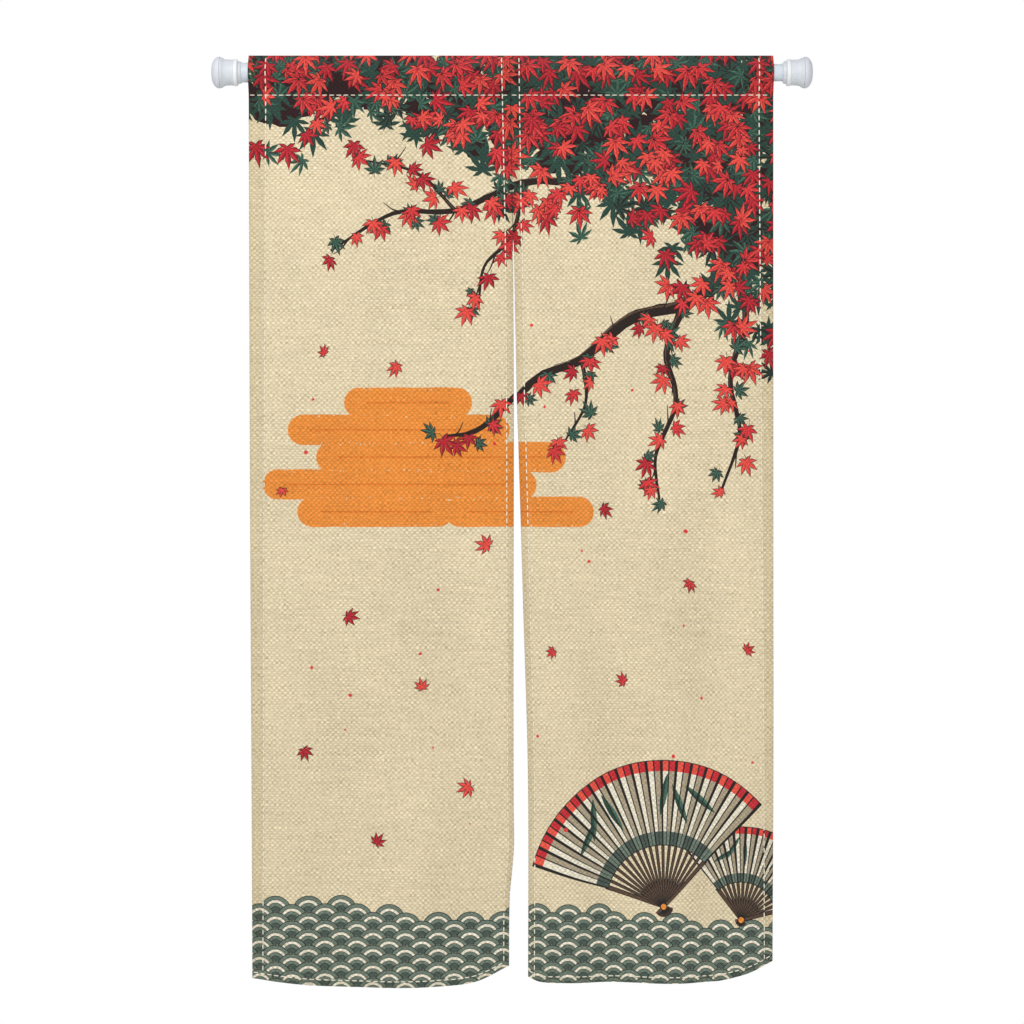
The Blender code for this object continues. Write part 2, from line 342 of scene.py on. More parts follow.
def tapered_band(line, start_width, end_width, rough=0.0, rng=None):
    """The outline of a stroke along a line, from one width to another, with uneven edges where rough."""
    along = unit(np.gradient(line, axis=0))
    side = np.stack([-along[:, 1], along[:, 0]], axis=1)
    half = np.linspace(start_width, end_width, len(line))[:, None] / 2
    if rng is None:
        return np.vstack([line + side * half, (line - side * half)[::-1]])
    over = np.array([[1 + rough * rng.uniform(-1, 1)] for _ in line])
    under = np.array([[1 + rough * rng.uniform(-1, 1)] for _ in line])
    return np.vstack([line + side * half * over, (line - side * half * under)[::-1]])


def grown(outline, by):
    """An outline moved outwards along its corners' bisectors."""
    before = unit(outline - np.roll(outline, 1, axis=0))
    after = unit(np.roll(outline, -1, axis=0) - outline)
    normal = np.stack([before[:, 1] + after[:, 1], -(before[:, 0] + after[:, 0])], axis=1)
    length = np.maximum(np.linalg.norm(normal, axis=1, keepdims=True), 0.6)
    area = np.sum(outline[:, 0] * np.roll(outline[:, 1], -1) - outline[:, 1] * np.roll(outline[:, 0], -1))
    return outline + normal / length * by * (1 if area > 0 else -1) * np.minimum(2 / length, 1.6)


# A maple leaf's lobes: the angle from its middle lobe in degrees, and the length as a share of the leaf's
Lobe = namedtuple("Lobe", "angle length")
LOBES = (
    Lobe(-118, 0.42), Lobe(-76, 0.70), Lobe(-37, 0.90), Lobe(0, 1.00),
    Lobe(37, 0.90), Lobe(76, 0.70), Lobe(118, 0.42),
)
NOTCH = 0.30
LOBE_HALF_WIDTH = 0.115
# Along one side of a lobe: share of its length and of its half width. The step back makes a tooth.
LOBE_SIDE = ((0.44, 0.92), (0.60, 1.00), (0.625, 0.74))
LEAF_LINE = 0.0011
VEIN_WIDTH = 0.035
VEINED_SIZE = 0.031


def polar(angle, radius):
    return np.array([math.sin(math.radians(angle)), math.cos(math.radians(angle))]) * radius


def leaf_parts(toothed):
    """A leaf one unit long: its outline, the shaded half of each lobe and the veins."""
    outline, halves, veins = [], [], []
    side = LOBE_SIDE if toothed else ((0.55, 1.00),)
    for k, lobe in enumerate(LOBES):
        tip = polar(lobe.angle, lobe.length)
        across = polar(lobe.angle + 90, 1.0)
        left = [tip * at - across * LOBE_HALF_WIDTH * wide * lobe.length**0.5 for at, wide in side]
        right = [tip * at + across * LOBE_HALF_WIDTH * wide * lobe.length**0.5 for at, wide in reversed(side)]
        outline += left + [tip] + right
        if k < len(LOBES) - 1:
            middle = (lobe.angle + LOBES[k + 1].angle) / 2
            notch = polar(middle, NOTCH * (lobe.length + LOBES[k + 1].length) / 2)
            outline.append(notch)
        else:
            notch = polar(180, 0.05)
        halves.append(np.array([(0.0, 0.0), tip] + right + [notch]))
        root = polar(lobe.angle + 90, VEIN_WIDTH / 2)
        veins.append(np.array([root, tip * 0.84, -root]))
    outline.append(polar(180, 0.05))
    return np.array(outline), halves, veins


PLAIN_LEAF = leaf_parts(False)
TOOTHED_LEAF = leaf_parts(True)
TOOTHED_SIZE = 0.032
STALK = tapered_band(curve_through([(0, 0), (0.05, -0.22), (0, -0.46)], 2), 0.05, 0.025)


def add_leaf(art, rng, centre, size, turn, inks, line=True, stem=True):
    """One maple leaf. inks names its face, its shaded halves and its veins, if any."""
    face, shaded, vein = inks
    outline, halves, veins = TOOTHED_LEAF if size > TOOTHED_SIZE and line else PLAIN_LEAF
    tilt = rng.uniform(0, math.tau)
    squash = rng.uniform(0.68, 1.0)
    lean = np.array([math.cos(tilt), math.sin(tilt)])
    shear = np.eye(2) - (1 - squash) * np.outer(lean, lean)
    spin = np.array([[math.cos(turn), -math.sin(turn)], [math.sin(turn), math.cos(turn)]])
    move = size * shear @ spin

    def put(points):
        return points @ move.T + centre

    if stem:
        art.append((put(STALK), "outline"))
    if line:
        art.append((grown(put(outline), LEAF_LINE), "outline"))
    art.append((put(outline), face))
    for half in halves:
        art.append((put(half), shaded))
    if vein and size > VEINED_SIZE:
        art.extend((put(rib), vein) for rib in veins)


CORAL_LEAF = ("coral", "rose", "deep_red")
ROSE_LEAF = ("rose", "crimson", "outline")
CRIMSON_LEAF = ("crimson", "deep_red", None)
GREEN_LEAF = ("green", "dark_green", None)
DARK_LEAF = ("dark_green", "ink_line", None)

LEAF_SPREAD = 0.75

# Branches: their points across and down the whole print, and their widths at the start and the end
Branch = namedtuple("Branch", "points start end")
BRANCHES = (
    Branch(((0.875, 0.30), (0.79, 0.335), (0.70, 0.40), (0.61, 0.425), (0.53, 0.49), (0.455, 0.52),
            (0.37, 0.60), (0.31, 0.615)), 0.026, 0.004),
    Branch(((0.875, 0.12), (0.77, 0.16), (0.66, 0.15), (0.55, 0.20), (0.44, 0.205), (0.33, 0.25),
            (0.23, 0.255), (0.13, 0.315)), 0.020, 0.003),
    Branch(((0.70, 0.40), (0.67, 0.48), (0.685, 0.56), (0.65, 0.645), (0.655, 0.72)), 0.011, 0.003),
    Branch(((0.79, 0.335), (0.80, 0.43), (0.775, 0.52), (0.79, 0.61), (0.76, 0.70)), 0.012, 0.003),
    Branch(((0.53, 0.49), (0.535, 0.56), (0.50, 0.62)), 0.006, 0.002),
    Branch(((0.44, 0.205), (0.42, 0.29), (0.375, 0.34), (0.365, 0.41)), 0.007, 0.002),
    Branch(((0.55, 0.20), (0.50, 0.12), (0.42, 0.09), (0.31, 0.10), (0.20, 0.07), (0.10, 0.11)),
           0.010, 0.003),
    Branch(((0.33, 0.25), (0.27, 0.19), (0.19, 0.17)), 0.005, 0.002),
)


def add_branches(art, rng):
    for branch in BRANCHES:
        line = curve_through(branch.points, 7)
        art.append((tapered_band(line, branch.start + 0.0016, branch.end + 0.001, 0.16, rng), "bark"))
        count = len(line) * 2 // 3
        offset = np.array([-0.18, -0.22]) * branch.start
        light = tapered_band(line[:count] + offset, branch.start * 0.26, 0.0008, 0.5, rng)
        art.append((light, "bark_light"))
        for k in range(5, len(line) - 2, 6):
            reach = rng.uniform(0.018, 0.040)
            turn = rng.uniform(-1.1, 1.1) + (math.pi if rng.random() < 0.5 else 0)
            way = line[k + 1] - line[k - 1]
            base = math.atan2(way[1], way[0]) + turn * 0.7
            tip = line[k] + reach * np.array([math.cos(base), math.sin(base)])
            bend = (line[k] + tip) / 2 + np.array([0, 0.004])
            twig = curve_through([line[k], bend, tip], 3)
            art.append((tapered_band(twig, 0.0032, 0.0012), "bark"))


def crown_reach(x):
    """How far down the leafy crown hangs at a place across the print."""
    return 0.11 + 0.37 * max(x / PRINT_WIDTH, 0) ** 1.7 + 0.035 * math.sin(x * 17 + 0.6)


def crown_places(rng, step, thinning, end=1.22):
    """Places of the crown's leaves on a jittered grid, dense near the top and thinning towards its edge."""
    places = []
    v = -0.085
    while v < 0.66:
        x = -0.03
        while x < PRINT_WIDTH + 0.03:
            place = (x + rng.uniform(-0.5, 0.5) * step, v + rng.uniform(-0.5, 0.5) * step)
            depth = place[1] / crown_reach(place[0])
            if rng.random() < thinning * (end - depth) / 0.5:
                places.append(np.array(place))
            x += step
        v += step
    rng.shuffle(places)
    return places


def branch_places(rng, step, spread):
    """Places of leaves that hang from the branches, closer to them at their thin ends."""
    places = []
    for branch in BRANCHES:
        line = curve_through(branch.points, 12)
        lengths = np.concatenate([[0], np.cumsum(np.linalg.norm(np.diff(line, axis=0), axis=1))])
        at = 0.03
        while at < lengths[-1] + 0.012:
            here = np.array([np.interp(at, lengths, line[:, 0]), np.interp(at, lengths, line[:, 1])])
            here += np.array([rng.uniform(-spread, spread), rng.uniform(-0.4 * spread, spread)])
            places.append(here)
            at += step * rng.uniform(0.6, 1.4)
    return places


def add_foliage(art, rng):
    """The crown from its dark ground up, then the leaves on the branches. Red ones mostly hang down."""
    def hanging():
        return rng.gauss(0, LEAF_SPREAD)

    for place in crown_places(rng, 0.028, 3.0, 0.74):
        art.append((round_patch(place, rng.uniform(0.020, 0.025), 8, rng), "outline"))
    for place in crown_places(rng, 0.030, 1.0, 1.06):
        leaf = PLAIN_LEAF[0] * rng.uniform(0.036, 0.044) * (1, rng.choice((-1, 1)))
        art.append((leaf + place, "dark_green"))
    for place in crown_places(rng, 0.033, 0.50):
        ink = DARK_LEAF if rng.random() < 0.35 else GREEN_LEAF
        add_leaf(art, rng, place, rng.uniform(0.028, 0.038), rng.uniform(0, math.tau), ink, False, False)
    for place in branch_places(rng, 0.050, 0.020):
        add_leaf(art, rng, place, rng.uniform(0.016, 0.026), rng.uniform(0, math.tau), GREEN_LEAF)
    for place in crown_places(rng, 0.040, 0.50):
        add_leaf(art, rng, place, rng.uniform(0.027, 0.037), hanging(), CRIMSON_LEAF, stem=False)
    for place in crown_places(rng, 0.038, 0.52):
        ink = ROSE_LEAF if rng.random() < 0.4 else CORAL_LEAF
        add_leaf(art, rng, place, rng.uniform(0.027, 0.038), hanging(), ink, stem=False)
    for place in branch_places(rng, 0.030, 0.022):
        ink = rng.choice((CORAL_LEAF, CORAL_LEAF, ROSE_LEAF, CRIMSON_LEAF))
        add_leaf(art, rng, place, rng.uniform(0.020, 0.031), hanging(), ink)


# Leaves that have come loose: place across and down, size and turn
Loose = namedtuple("Loose", "x v size turn")
LOOSE_LEAVES = (
    Loose(0.235, 0.500, 0.024, 0.6), Loose(0.120, 0.480, 0.017, 2.4), Loose(0.560, 0.730, 0.022, -0.9),
    Loose(0.380, 0.790, 0.026, 1.9), Loose(0.705, 0.850, 0.021, 0.3), Loose(0.155, 0.905, 0.023, -1.3),
    Loose(0.275, 1.020, 0.018, 2.9), Loose(0.470, 0.960, 0.016, 0.9), Loose(0.085, 1.120, 0.020, -0.4),
    Loose(0.350, 1.180, 0.024, 1.2), Loose(0.800, 0.960, 0.018, -2.1), Loose(0.200, 1.270, 0.019, -2.5),
    Loose(0.052, 0.700, 0.015, 0.2), Loose(0.590, 1.010, 0.019, 2.2),
)


def add_loose_leaves(art, rng):
    for k, leaf in enumerate(LOOSE_LEAVES):
        inks = (CORAL_LEAF, ROSE_LEAF, CRIMSON_LEAF)[k % 3]
        add_leaf(art, rng, np.array([leaf.x, leaf.v]), leaf.size, leaf.turn, inks)
    for _ in range(26):
        centre = np.array([rng.uniform(0.03, PRINT_WIDTH - 0.03), rng.uniform(0.35, 1.25)])
        art.append((round_patch(centre, rng.uniform(0.0015, 0.0035), 7, rng), "rose"))


def round_patch(centre, radius, count, rng=None):
    turns = np.linspace(0, math.tau, count, endpoint=False)
    wide = np.array([radius * (rng.uniform(0.7, 1.3) if rng else 1) for _ in turns])
    return centre + np.stack([np.cos(turns) * wide, np.sin(turns) * wide], axis=1)


# Cloud bands with round ends: left and right end and middle height of each
Band = namedtuple("Band", "left right v")
BANDS = (
    Band(0.175, 0.330, 0.560), Band(0.085, 0.390, 0.604), Band(0.130, 0.475, 0.648),
    Band(0.045, 0.425, 0.692), Band(0.100, 0.300, 0.736), Band(0.335, 0.520, 0.736),
)
BAND_HALF = 0.0245
BAND_LINE = 0.0030


def band_outline(band, half, rough, rng):
    """A bar with round ends, its edge slightly broken as a dry brush leaves it."""
    points = []
    steps = max(int((band.right - band.left) / 0.012), 2)
    for start, end, rise in ((band.left, band.right, -half), (band.right, band.left, half)):
        points += [(x, band.v + rise + rng.uniform(-rough, rough)) for x in np.linspace(start, end, steps)]
        turns = np.linspace(0, math.pi, 13)[1:-1]
        points += [(end - rise * math.sin(turn), band.v + rise * math.cos(turn)) for turn in turns]
    return np.array(points)


def add_clouds(art, rng):
    for band in BANDS:
        art.append((band_outline(band, BAND_HALF, 0.0005, rng), "orange"))
    for band in BANDS:
        inner = Band(band.left + 0.012, band.right - 0.012, band.v)
        art.append((band_outline(inner, BAND_LINE / 2, 0.0003, rng), "amber"))
    for band in BANDS:
        for _ in range(int((band.right - band.left) * 90)):
            x = rng.uniform(band.left, band.right)
            v = band.v + rng.choice((-1, 1)) * BAND_HALF * rng.uniform(0.80, 0.97)
            art.append((round_patch(np.array([x, v]), rng.uniform(0.0005, 0.0013), 6, rng), "ground"))


# Overlapping scale waves along the foot of the print
WAVE_RADIUS = 0.0265
WAVE_TOP = 1.408
WAVE_SWELL = 0.040
WAVE_ROWS = 14
WAVE_RINGS = (
    (1.00, "ink_line"), (0.955, "grey_green"), (0.76, "ink_line"), (0.73, "white"), (0.57, "ink_line"),
    (0.54, "grey_green"), (0.36, "ink_line"), (0.33, "slate"),
)


def wave_top(x):
    """The height at which the waves begin, in two swells."""
    swell = WAVE_SWELL * math.exp(-((x - 0.10) / 0.14) ** 2) + 0.020 * math.exp(-((x - 0.50) / 0.10) ** 2)
    return WAVE_TOP - swell


def half_disc(centre, radius):
    turns = np.linspace(math.pi, math.tau, 15)
    return centre + radius * np.stack([np.cos(turns), np.sin(turns)], axis=1)


def add_waves(art):
    for row in range(WAVE_ROWS):
        v = WAVE_TOP - WAVE_SWELL + row * WAVE_RADIUS / 2
        shift = WAVE_RADIUS if row % 2 else 0.0
        x = -0.04 + shift
        while x < PRINT_WIDTH + 0.05:
            if v > wave_top(x):
                for share, ink in WAVE_RINGS:
                    art.append((half_disc(np.array([x, v]), WAVE_RADIUS * share), ink))
            x += 2 * WAVE_RADIUS


# Open fans: the place of the rivet, the outer radius, the inner radius of the leaf, the turn and the pleats
Fan = namedtuple("Fan", "x v radius inner turn pleats")
FANS = (
    Fan(0.655, 1.372, 0.235, 0.100, -14, 18),
    Fan(0.790, 1.395, 0.150, 0.062, 20, 14),
)
FAN_SPREAD = 118
FAN_LINE = 0.0014
# Half widths of the pleats' lines, outward and inward folds by turns, as shares of the first fan's spread
PLEAT_LINES = (0.0055, 0.0025)
SLAT_WIDTH = 0.0030
GUARD_WIDTH = 0.0052


def fan_way(fan, share):
    """The way out from a fan's rivet at a share of its spread."""
    turn = np.radians(fan.turn + FAN_SPREAD * (share - 0.5))
    return np.stack([np.sin(turn), -np.cos(turn)], axis=-1)


def sector(fan, low, high, inner, outer, steps):
    """A stretch of a ring between two shares of the fan's spread."""
    out = fan_way(fan, np.linspace(low, high, steps))
    centre = np.array([fan.x, fan.v])
    return np.vstack([centre + out * outer, centre + out[::-1] * inner])


def add_fan(art, fan):
    centre = np.array([fan.x, fan.v])
    for k in range(fan.pleats + 1):
        out = fan_way(fan, k / fan.pleats)
        side = np.array([out[1], -out[0]])
        wide = GUARD_WIDTH if k in (0, fan.pleats) else SLAT_WIDTH
        foot = centre - out * fan.radius * 0.07
        top = centre + out * (fan.inner + 0.004)
        for grow, ink in ((FAN_LINE, "ink_line"), (0.0, "bark_light")):
            half = (wide / 2 + grow) * side
            art.append((np.array([foot - half * 0.7, top - half, top + half, foot + half * 0.7]), ink))
    steps = 4 * fan.pleats
    art.append((sector(fan, -0.012, 1.012, fan.inner - FAN_LINE, fan.radius + FAN_LINE, steps), "ink_line"))
    art.append((sector(fan, 0, 1, fan.inner, fan.radius, steps), "white"))
    rim = fan.radius * 0.93
    waist = fan.inner + (fan.radius - fan.inner) * 0.16
    for k in range(fan.pleats):
        low, middle, high = ((k + part) / fan.pleats for part in (0, 0.5, 1))
        art.append((sector(fan, middle, high, fan.inner, fan.radius, 3), "shade"))
        art.append((sector(fan, low, middle, rim, fan.radius, 3), "coral"))
        art.append((sector(fan, middle, high, rim, fan.radius, 3), "crimson"))
        art.append((sector(fan, low, high, fan.inner, waist, 4), "grey_green" if k % 2 else "slate"))
    add_fan_leaves(art, fan)
    for k in range(1, 2 * fan.pleats):
        share = k / (2 * fan.pleats)
        wide = PLEAT_LINES[k % 2] * FANS[0].radius / fan.radius
        art.append((sector(fan, share - wide, share + wide, fan.inner, fan.radius, 2), "ink_line"))
    art.append((round_patch(centre, 0.0065, 14), "ink_line"))
    art.append((round_patch(centre, 0.0048, 14), "orange"))


# Leaves on a fan: share of its spread, share of its leaf's height, and lean in degrees
FAN_LEAVES = (
    (0.20, 0.52, 40), (0.27, 0.62, 12), (0.36, 0.55, -20),
    (0.62, 0.60, 25), (0.70, 0.50, -8), (0.79, 0.62, -35),
)


def add_fan_leaves(art, fan):
    """A plain arc of bamboo leaves painted across a fan."""
    for share, height, lean in FAN_LEAVES:
        reach = fan.inner + (fan.radius - fan.inner) * height
        middle = np.array([fan.x, fan.v]) + fan_way(fan, share) * reach
        way = math.radians(fan.turn + lean)
        along = np.array([math.sin(way), -math.cos(way)])
        length = fan.radius * 0.15
        line = curve_through([middle - along * length, middle, middle + along * length], 5)
        shares = np.linspace(0, 1, len(line))
        half = (np.sin(shares * math.pi) ** 0.8 * fan.radius * 0.024)[:, None]
        side = np.array([along[1], -along[0]])
        art.append((np.vstack([line + side * half, (line - side * half)[::-1][1:-1]]), "green"))
        art.append((np.vstack([line + side * half, line[::-1][1:-1]]), "dark_green"))


def draw_print():
    """All the outlines of the print in painting order, as (points, ink number) pairs."""
    rng = random.Random(20)
    art = []
    add_clouds(art, rng)
    add_waves(art)
    for fan in reversed(FANS):
        add_fan(art, fan)
    add_branches(art, rng)
    add_foliage(art, rng)
    add_loose_leaves(art, rng)
    return [(np.asarray(points, float), INK_NAMES.index(ink)) for points, ink in art]


# Cutting the flat cloth along the print

def inside(points, start, end):
    """Which points lie within closed lines, given by the ends of their edges, by counting the crossings."""
    px, py = points[:, :1], points[:, 1:]
    (ax, ay), (bx, by) = start.T, end.T
    spans = (ay > py) != (by > py)
    with np.errstate(divide="ignore", invalid="ignore"):
        meets = px < (bx - ax) * (py - ay) / (by - ay) + ax
    return np.count_nonzero(spans & meets, axis=1) % 2 == 1


def inks_at(points, art):
    """The ink on top at each point."""
    order = np.argsort(points[:, 1], kind="stable")
    ordered = points[order]
    found = np.full(len(points), -1)
    for outline, ink in reversed(art):
        low, high = outline.min(axis=0), outline.max(axis=0)
        first = np.searchsorted(ordered[:, 1], low[1])
        last = np.searchsorted(ordered[:, 1], high[1])
        span = ordered[first:last, 0]
        near = first + np.flatnonzero((found[first:last] < 0) & (span > low[0]) & (span < high[0]))
        if len(near):
            found[near[inside(ordered[near], outline, np.roll(outline, -1, axis=0))]] = ink
    inks = np.empty(len(points), int)
    inks[order] = np.maximum(found, 0)
    return inks


def margins(panel):
    """The flat places of the folds: the side edges, the pocket's back edge and the sheet's cut edges."""
    back = -(POCKET_DROP + POCKET_TURNING)
    left, right = (float(widest) for widest in turnings(panel, 0.0))
    return (-left, width_of(panel) + right, back, back - POCKET_UNDER)


def pocket_rows(panel):
    """The places down the cloth at which it is scored so that it bends round the rod and over its crease."""
    top = margins(panel)[3]
    crest = CREASE_ROUND * np.array([-4, -2, -1, -0.3, 0.3, 1, 2, 4])
    rows = np.arange(top + POCKET_STEP, POCKET_DROP + 2 * POCKET_STEP, POCKET_STEP)
    return np.concatenate([rows, crest])


LONGEST_EDGE = 0.009
EDGE_LINES = (0.0002, 0.0008)


def short_lines(ends):
    """Straight edges, given by their two ends, as lines of short steps that can follow the folds."""
    steps = np.ceil(np.linalg.norm(ends[:, 1] - ends[:, 0], axis=1) / LONGEST_EDGE).astype(int)
    lines = list(ends[steps <= 1])
    for (start, end), count in zip(ends[steps > 1], steps[steps > 1]):
        lines.append(np.linspace(start, end, count + 1))
    return lines


def structure_lines(panel):
    """The folds, hem edges, score lines and cut edges of a cloth, as flat lines that the cut keeps."""
    width = width_of(panel)
    left, right, back, top = margins(panel)
    across = np.linspace(0, width, 90)
    foot = bottom_drop(panel, across)
    low = CLOTH_DROP + BOTTOM_HEM
    lines = [np.array([(u, top), (u, low)]) for u in (0.0, width)]
    down = np.linspace(top, low, 60)
    left_turning, right_turning = turnings(panel, down)
    for line in (-left_turning, left_turning, width - right_turning, width + right_turning):
        lines.append(np.stack([line, down], axis=1))
    for away in EDGE_LINES:
        lines += [np.array([(u, top), (u, low)]) for u in (-away, away, width - away, width + away)]
    rows = (top, back, 0.0, POCKET_DROP, *pocket_rows(panel))
    lines += [np.array([(left, v), (right, v)]) for v in rows]
    for extra in (-BOTTOM_HEM, 0.0, BOTTOM_HEM):
        line = np.stack([across, foot + extra], axis=1)
        lines.append(np.vstack([(left, line[0, 1]), line, (right, line[-1, 1])]))
    ends = np.concatenate([np.stack([line[:-1], line[1:]], axis=1) for line in lines])
    return short_lines(ends)


# The rows just below the pocket's seam, and where the body's own rows begin
SEAM_ROWS = (0.078, 0.16)
BODY_START = 0.165


def grid_points(panel, column_step, row_step):
    """Free points that let the cut sheet bend."""
    left, right, _, _ = margins(panel)
    columns = np.arange(left, right + column_step / 2, column_step)
    below = np.arange(*SEAM_ROWS, POCKET_STEP * 1.5)
    body = np.arange(BODY_START, CLOTH_DROP + BOTTOM_HEM, row_step)
    u, v = np.meshgrid(columns, np.concatenate([pocket_rows(panel), below, body]))
    return np.stack([u.ravel(), v.ravel()], axis=1)


def cut(lines, closed, free, trace=False):
    """Triangulates the flat sheet along lines, of which closed says which are outlines. Traced, it also says
    which of the given points each found point stands for."""
    points = []
    edges = []
    for line, ring in zip(lines, closed):
        first = len(points)
        points += [Vector(p) for p in line.tolist()]
        edges += [(first + k, first + k + 1) for k in range(len(line) - 1)]
        if ring:
            edges.append((first + len(line) - 1, first))
    points += [Vector(p) for p in free.tolist()]
    found, _, faces, origins, _, _ = delaunay_2d_cdt(points, edges, [], 0, CUT_EPSILON, trace)
    triangles = [(face[0], face[k], face[k + 1]) for face in faces for k in range(1, len(face) - 1)]
    return np.array([tuple(p) for p in found]), np.array(triangles, int), origins


MAIN, LEFT_TURN, RIGHT_TURN, FOOT_TURN, POCKET_TURN, OFFCUT = range(6)


def parts_at(panel, points):
    """Which part of the folded sheet each flat point belongs to."""
    width = width_of(panel)
    _, _, back, top = margins(panel)
    u, v = points.T
    foot = bottom_drop(panel, u)
    part = np.full(len(points), OFFCUT)
    body = (v > back) & (v < foot - BOTTOM_HEM)
    left_turning, right_turning = turnings(panel, v)
    part[(u > -left_turning) & (u < 0) & body] = LEFT_TURN
    part[(u > width) & (u < width + right_turning) & body] = RIGHT_TURN
    middle = (u > 0) & (u < width)
    part[middle & (v > back) & (v < foot)] = MAIN
    part[middle & (v > foot) & (v < foot + BOTTOM_HEM)] = FOOT_TURN
    inner = (u > left_turning) & (u < width - right_turning)
    part[inner & (v > top) & (v < back)] = POCKET_TURN
    return part


def sorted_sides(faces):
    """The triangles' sides, an order that brings equal ones together, and which follow an equal one in it."""
    sides = np.concatenate([faces[:, [0, 1]], faces[:, [1, 2]], faces[:, [2, 0]]])
    key = np.sort(sides, axis=1)
    order = np.lexsort((key[:, 1], key[:, 0]))
    return sides, order, (key[order][1:] == key[order][:-1]).all(axis=1)


def seen_edges(faces, marks):
    """The edges between triangles that differ."""
    sides, order, same = sorted_sides(faces)
    owners = np.tile(marks, 3)[order]
    differ = same & (owners[1:] != owners[:-1])
    return np.sort(sides[order[1:][differ]], axis=1)


STRAIGHT_TOLERANCE = 0.00012
STRAIGHT_ROUNDS = 12


def straightened(points, edges):
    """The edges without the points at which they only run straight on."""
    rng = np.random.default_rng(3)
    for _ in range(STRAIGHT_ROUNDS):
        both = np.concatenate([edges, edges[:, ::-1]])
        both = both[np.argsort(both[:, 0], kind="stable")]
        degree = np.bincount(both[:, 0], minlength=len(points))
        pairs = np.flatnonzero(degree == 2)
        first = np.searchsorted(both[:, 0], pairs)
        a, b = both[first, 1], both[first + 1, 1]
        to_a, to_b = points[a] - points[pairs], points[b] - points[pairs]
        reach = np.maximum(np.linalg.norm(points[b] - points[a], axis=1), 1e-9)
        off = np.abs(to_a[:, 0] * to_b[:, 1] - to_a[:, 1] * to_b[:, 0]) / reach
        free = (off < STRAIGHT_TOLERANCE) & ((to_a * to_b).sum(axis=1) < 0)
        rank = np.full(len(points), 2.0)
        rank[pairs[free]] = rng.random(int(free.sum()))
        gone = free & (rank[pairs] < rank[a]) & (rank[pairs] < rank[b])
        if not gone.any():
            break
        dropped = np.zeros(len(points), bool)
        dropped[pairs[gone]] = True
        kept = edges[~dropped[edges].any(axis=1)]
        edges = np.concatenate([kept, np.stack([a[gone], b[gone]], axis=1)])
    return edges


def rim_edges(faces):
    """The edges that belong to one triangle only, along the way in which it runs."""
    sides, order, same = sorted_sides(faces)
    single = np.ones(len(sides), bool)
    single[order[1:][same]] = False
    single[order[:-1][same]] = False
    return sides[single]


def reverse_net(panel, part, points, rim):
    """A coarser cut of one part for the cloth's reverse, with the same rim, and the number in it of each of
    the rim's points."""
    step = REVERSE_STEP if part == MAIN else BODY_STEP
    free = grid_points(panel, step, step)
    clear = np.ones(len(free), bool)
    for across in (-RIM_CLEARANCE, RIM_CLEARANCE):
        for down in (-RIM_CLEARANCE, RIM_CLEARANCE):
            clear &= parts_at(panel, free + (across, down)) == part
    net, faces, origins = cut(list(points[rim]), [False] * len(rim), free[clear], trace=True)
    middles = np.array_split(net[faces].mean(axis=1), 1 + len(faces) // 2000)
    faces = faces[np.concatenate([inside(some, *points[rim.T]) for some in middles])]
    where = np.full(len(points), -1)
    flat_rim = rim.ravel()
    for number, group in enumerate(origins):
        for given in group:
            if given < len(flat_rim):
                where[flat_rim[given]] = number
    return net, faces, where


def flat_sheet(panel, art):
    """The cut sheet: flat points, triangles, and the ink and the part of each triangle."""
    left, right, _, top = margins(panel)
    shift = np.array([panel.offset, 0.0])
    mine = []
    for outline, ink in art:
        moved = outline - shift
        low, high = moved.min(axis=0), moved.max(axis=0)
        if high[0] > left and low[0] < right and high[1] > top:
            mine.append((moved, ink))
    structure = structure_lines(panel)
    lines = structure + [outline for outline, _ in mine]
    closed = [False] * len(structure) + [True] * len(mine)
    points, faces, _ = cut(lines, closed, np.zeros((0, 2)))
    middles = points[faces].mean(axis=1)
    kept = straightened(points, seen_edges(faces, inks_at(middles, mine)))
    lines = structure + short_lines(points[kept])
    points, faces, _ = cut(lines, [False] * len(lines), grid_points(panel, COLUMN_STEP, BODY_STEP))
    middles = points[faces].mean(axis=1)
    part = parts_at(panel, middles)
    faces, middles, part = faces[part != OFFCUT], middles[part != OFFCUT], part[part != OFFCUT]
    return points, faces, inks_at(middles, mine), part, mine


# Hanging the flat cloth

def folded(panel, part, points):
    """Where the points of a turned-back part lie on the main sheet."""
    width = width_of(panel)
    u, v = points[:, 0].copy(), points[:, 1].copy()
    if part == LEFT_TURN:
        u = -u
    if part == RIGHT_TURN:
        u = 2 * width - u
    if part == FOOT_TURN:
        v = 2 * bottom_drop(panel, u) - v
    if part == POCKET_TURN:
        v = -2 * (POCKET_DROP + POCKET_TURNING) - v
    return u, v


def hung_part(panel, part, points):
    """A part's printed face, its reverse and the printed face's normals, hung."""
    u, v = folded(panel, part, points)
    thinned = np.clip(THINNEST + edge_place(panel, u, v), 0, 1)[:, None]
    if part == MAIN:
        printed = surface(panel, u, v)
        normals = surface_normals(panel, u, v)
        flat_normals = surface_normals(panel, u, v, rounded=False)
        return printed, printed - flat_normals * SHEET * thinned, normals
    side = part in (LEFT_TURN, RIGHT_TURN)
    place = surface(panel, u, v, rounded=not side)
    normals = surface_normals(panel, u, v, rounded=False)
    thick = np.where(v < POCKET_DROP, POCKET_HEM_LAYER, HEM_LAYER)[:, None]
    depth = SHEET + LAYER_GAP + thick
    if side:
        depth = depth - edge_setback(panel, u, v)[:, None]
    return place - normals * depth, place - normals * (depth - thick * thinned), -normals


def face_normals(vertices, faces):
    a, b, c = (vertices[faces[:, k]] for k in range(3))
    return unit(np.cross(b - a, c - a))


def facing(vertices, normals, faces):
    """The triangles, turned so that each one faces along its points' normals."""
    wrong = (face_normals(vertices, faces) * normals[faces].sum(axis=1)).sum(axis=1) < 0
    return np.where(wrong[:, None], faces[:, ::-1], faces)


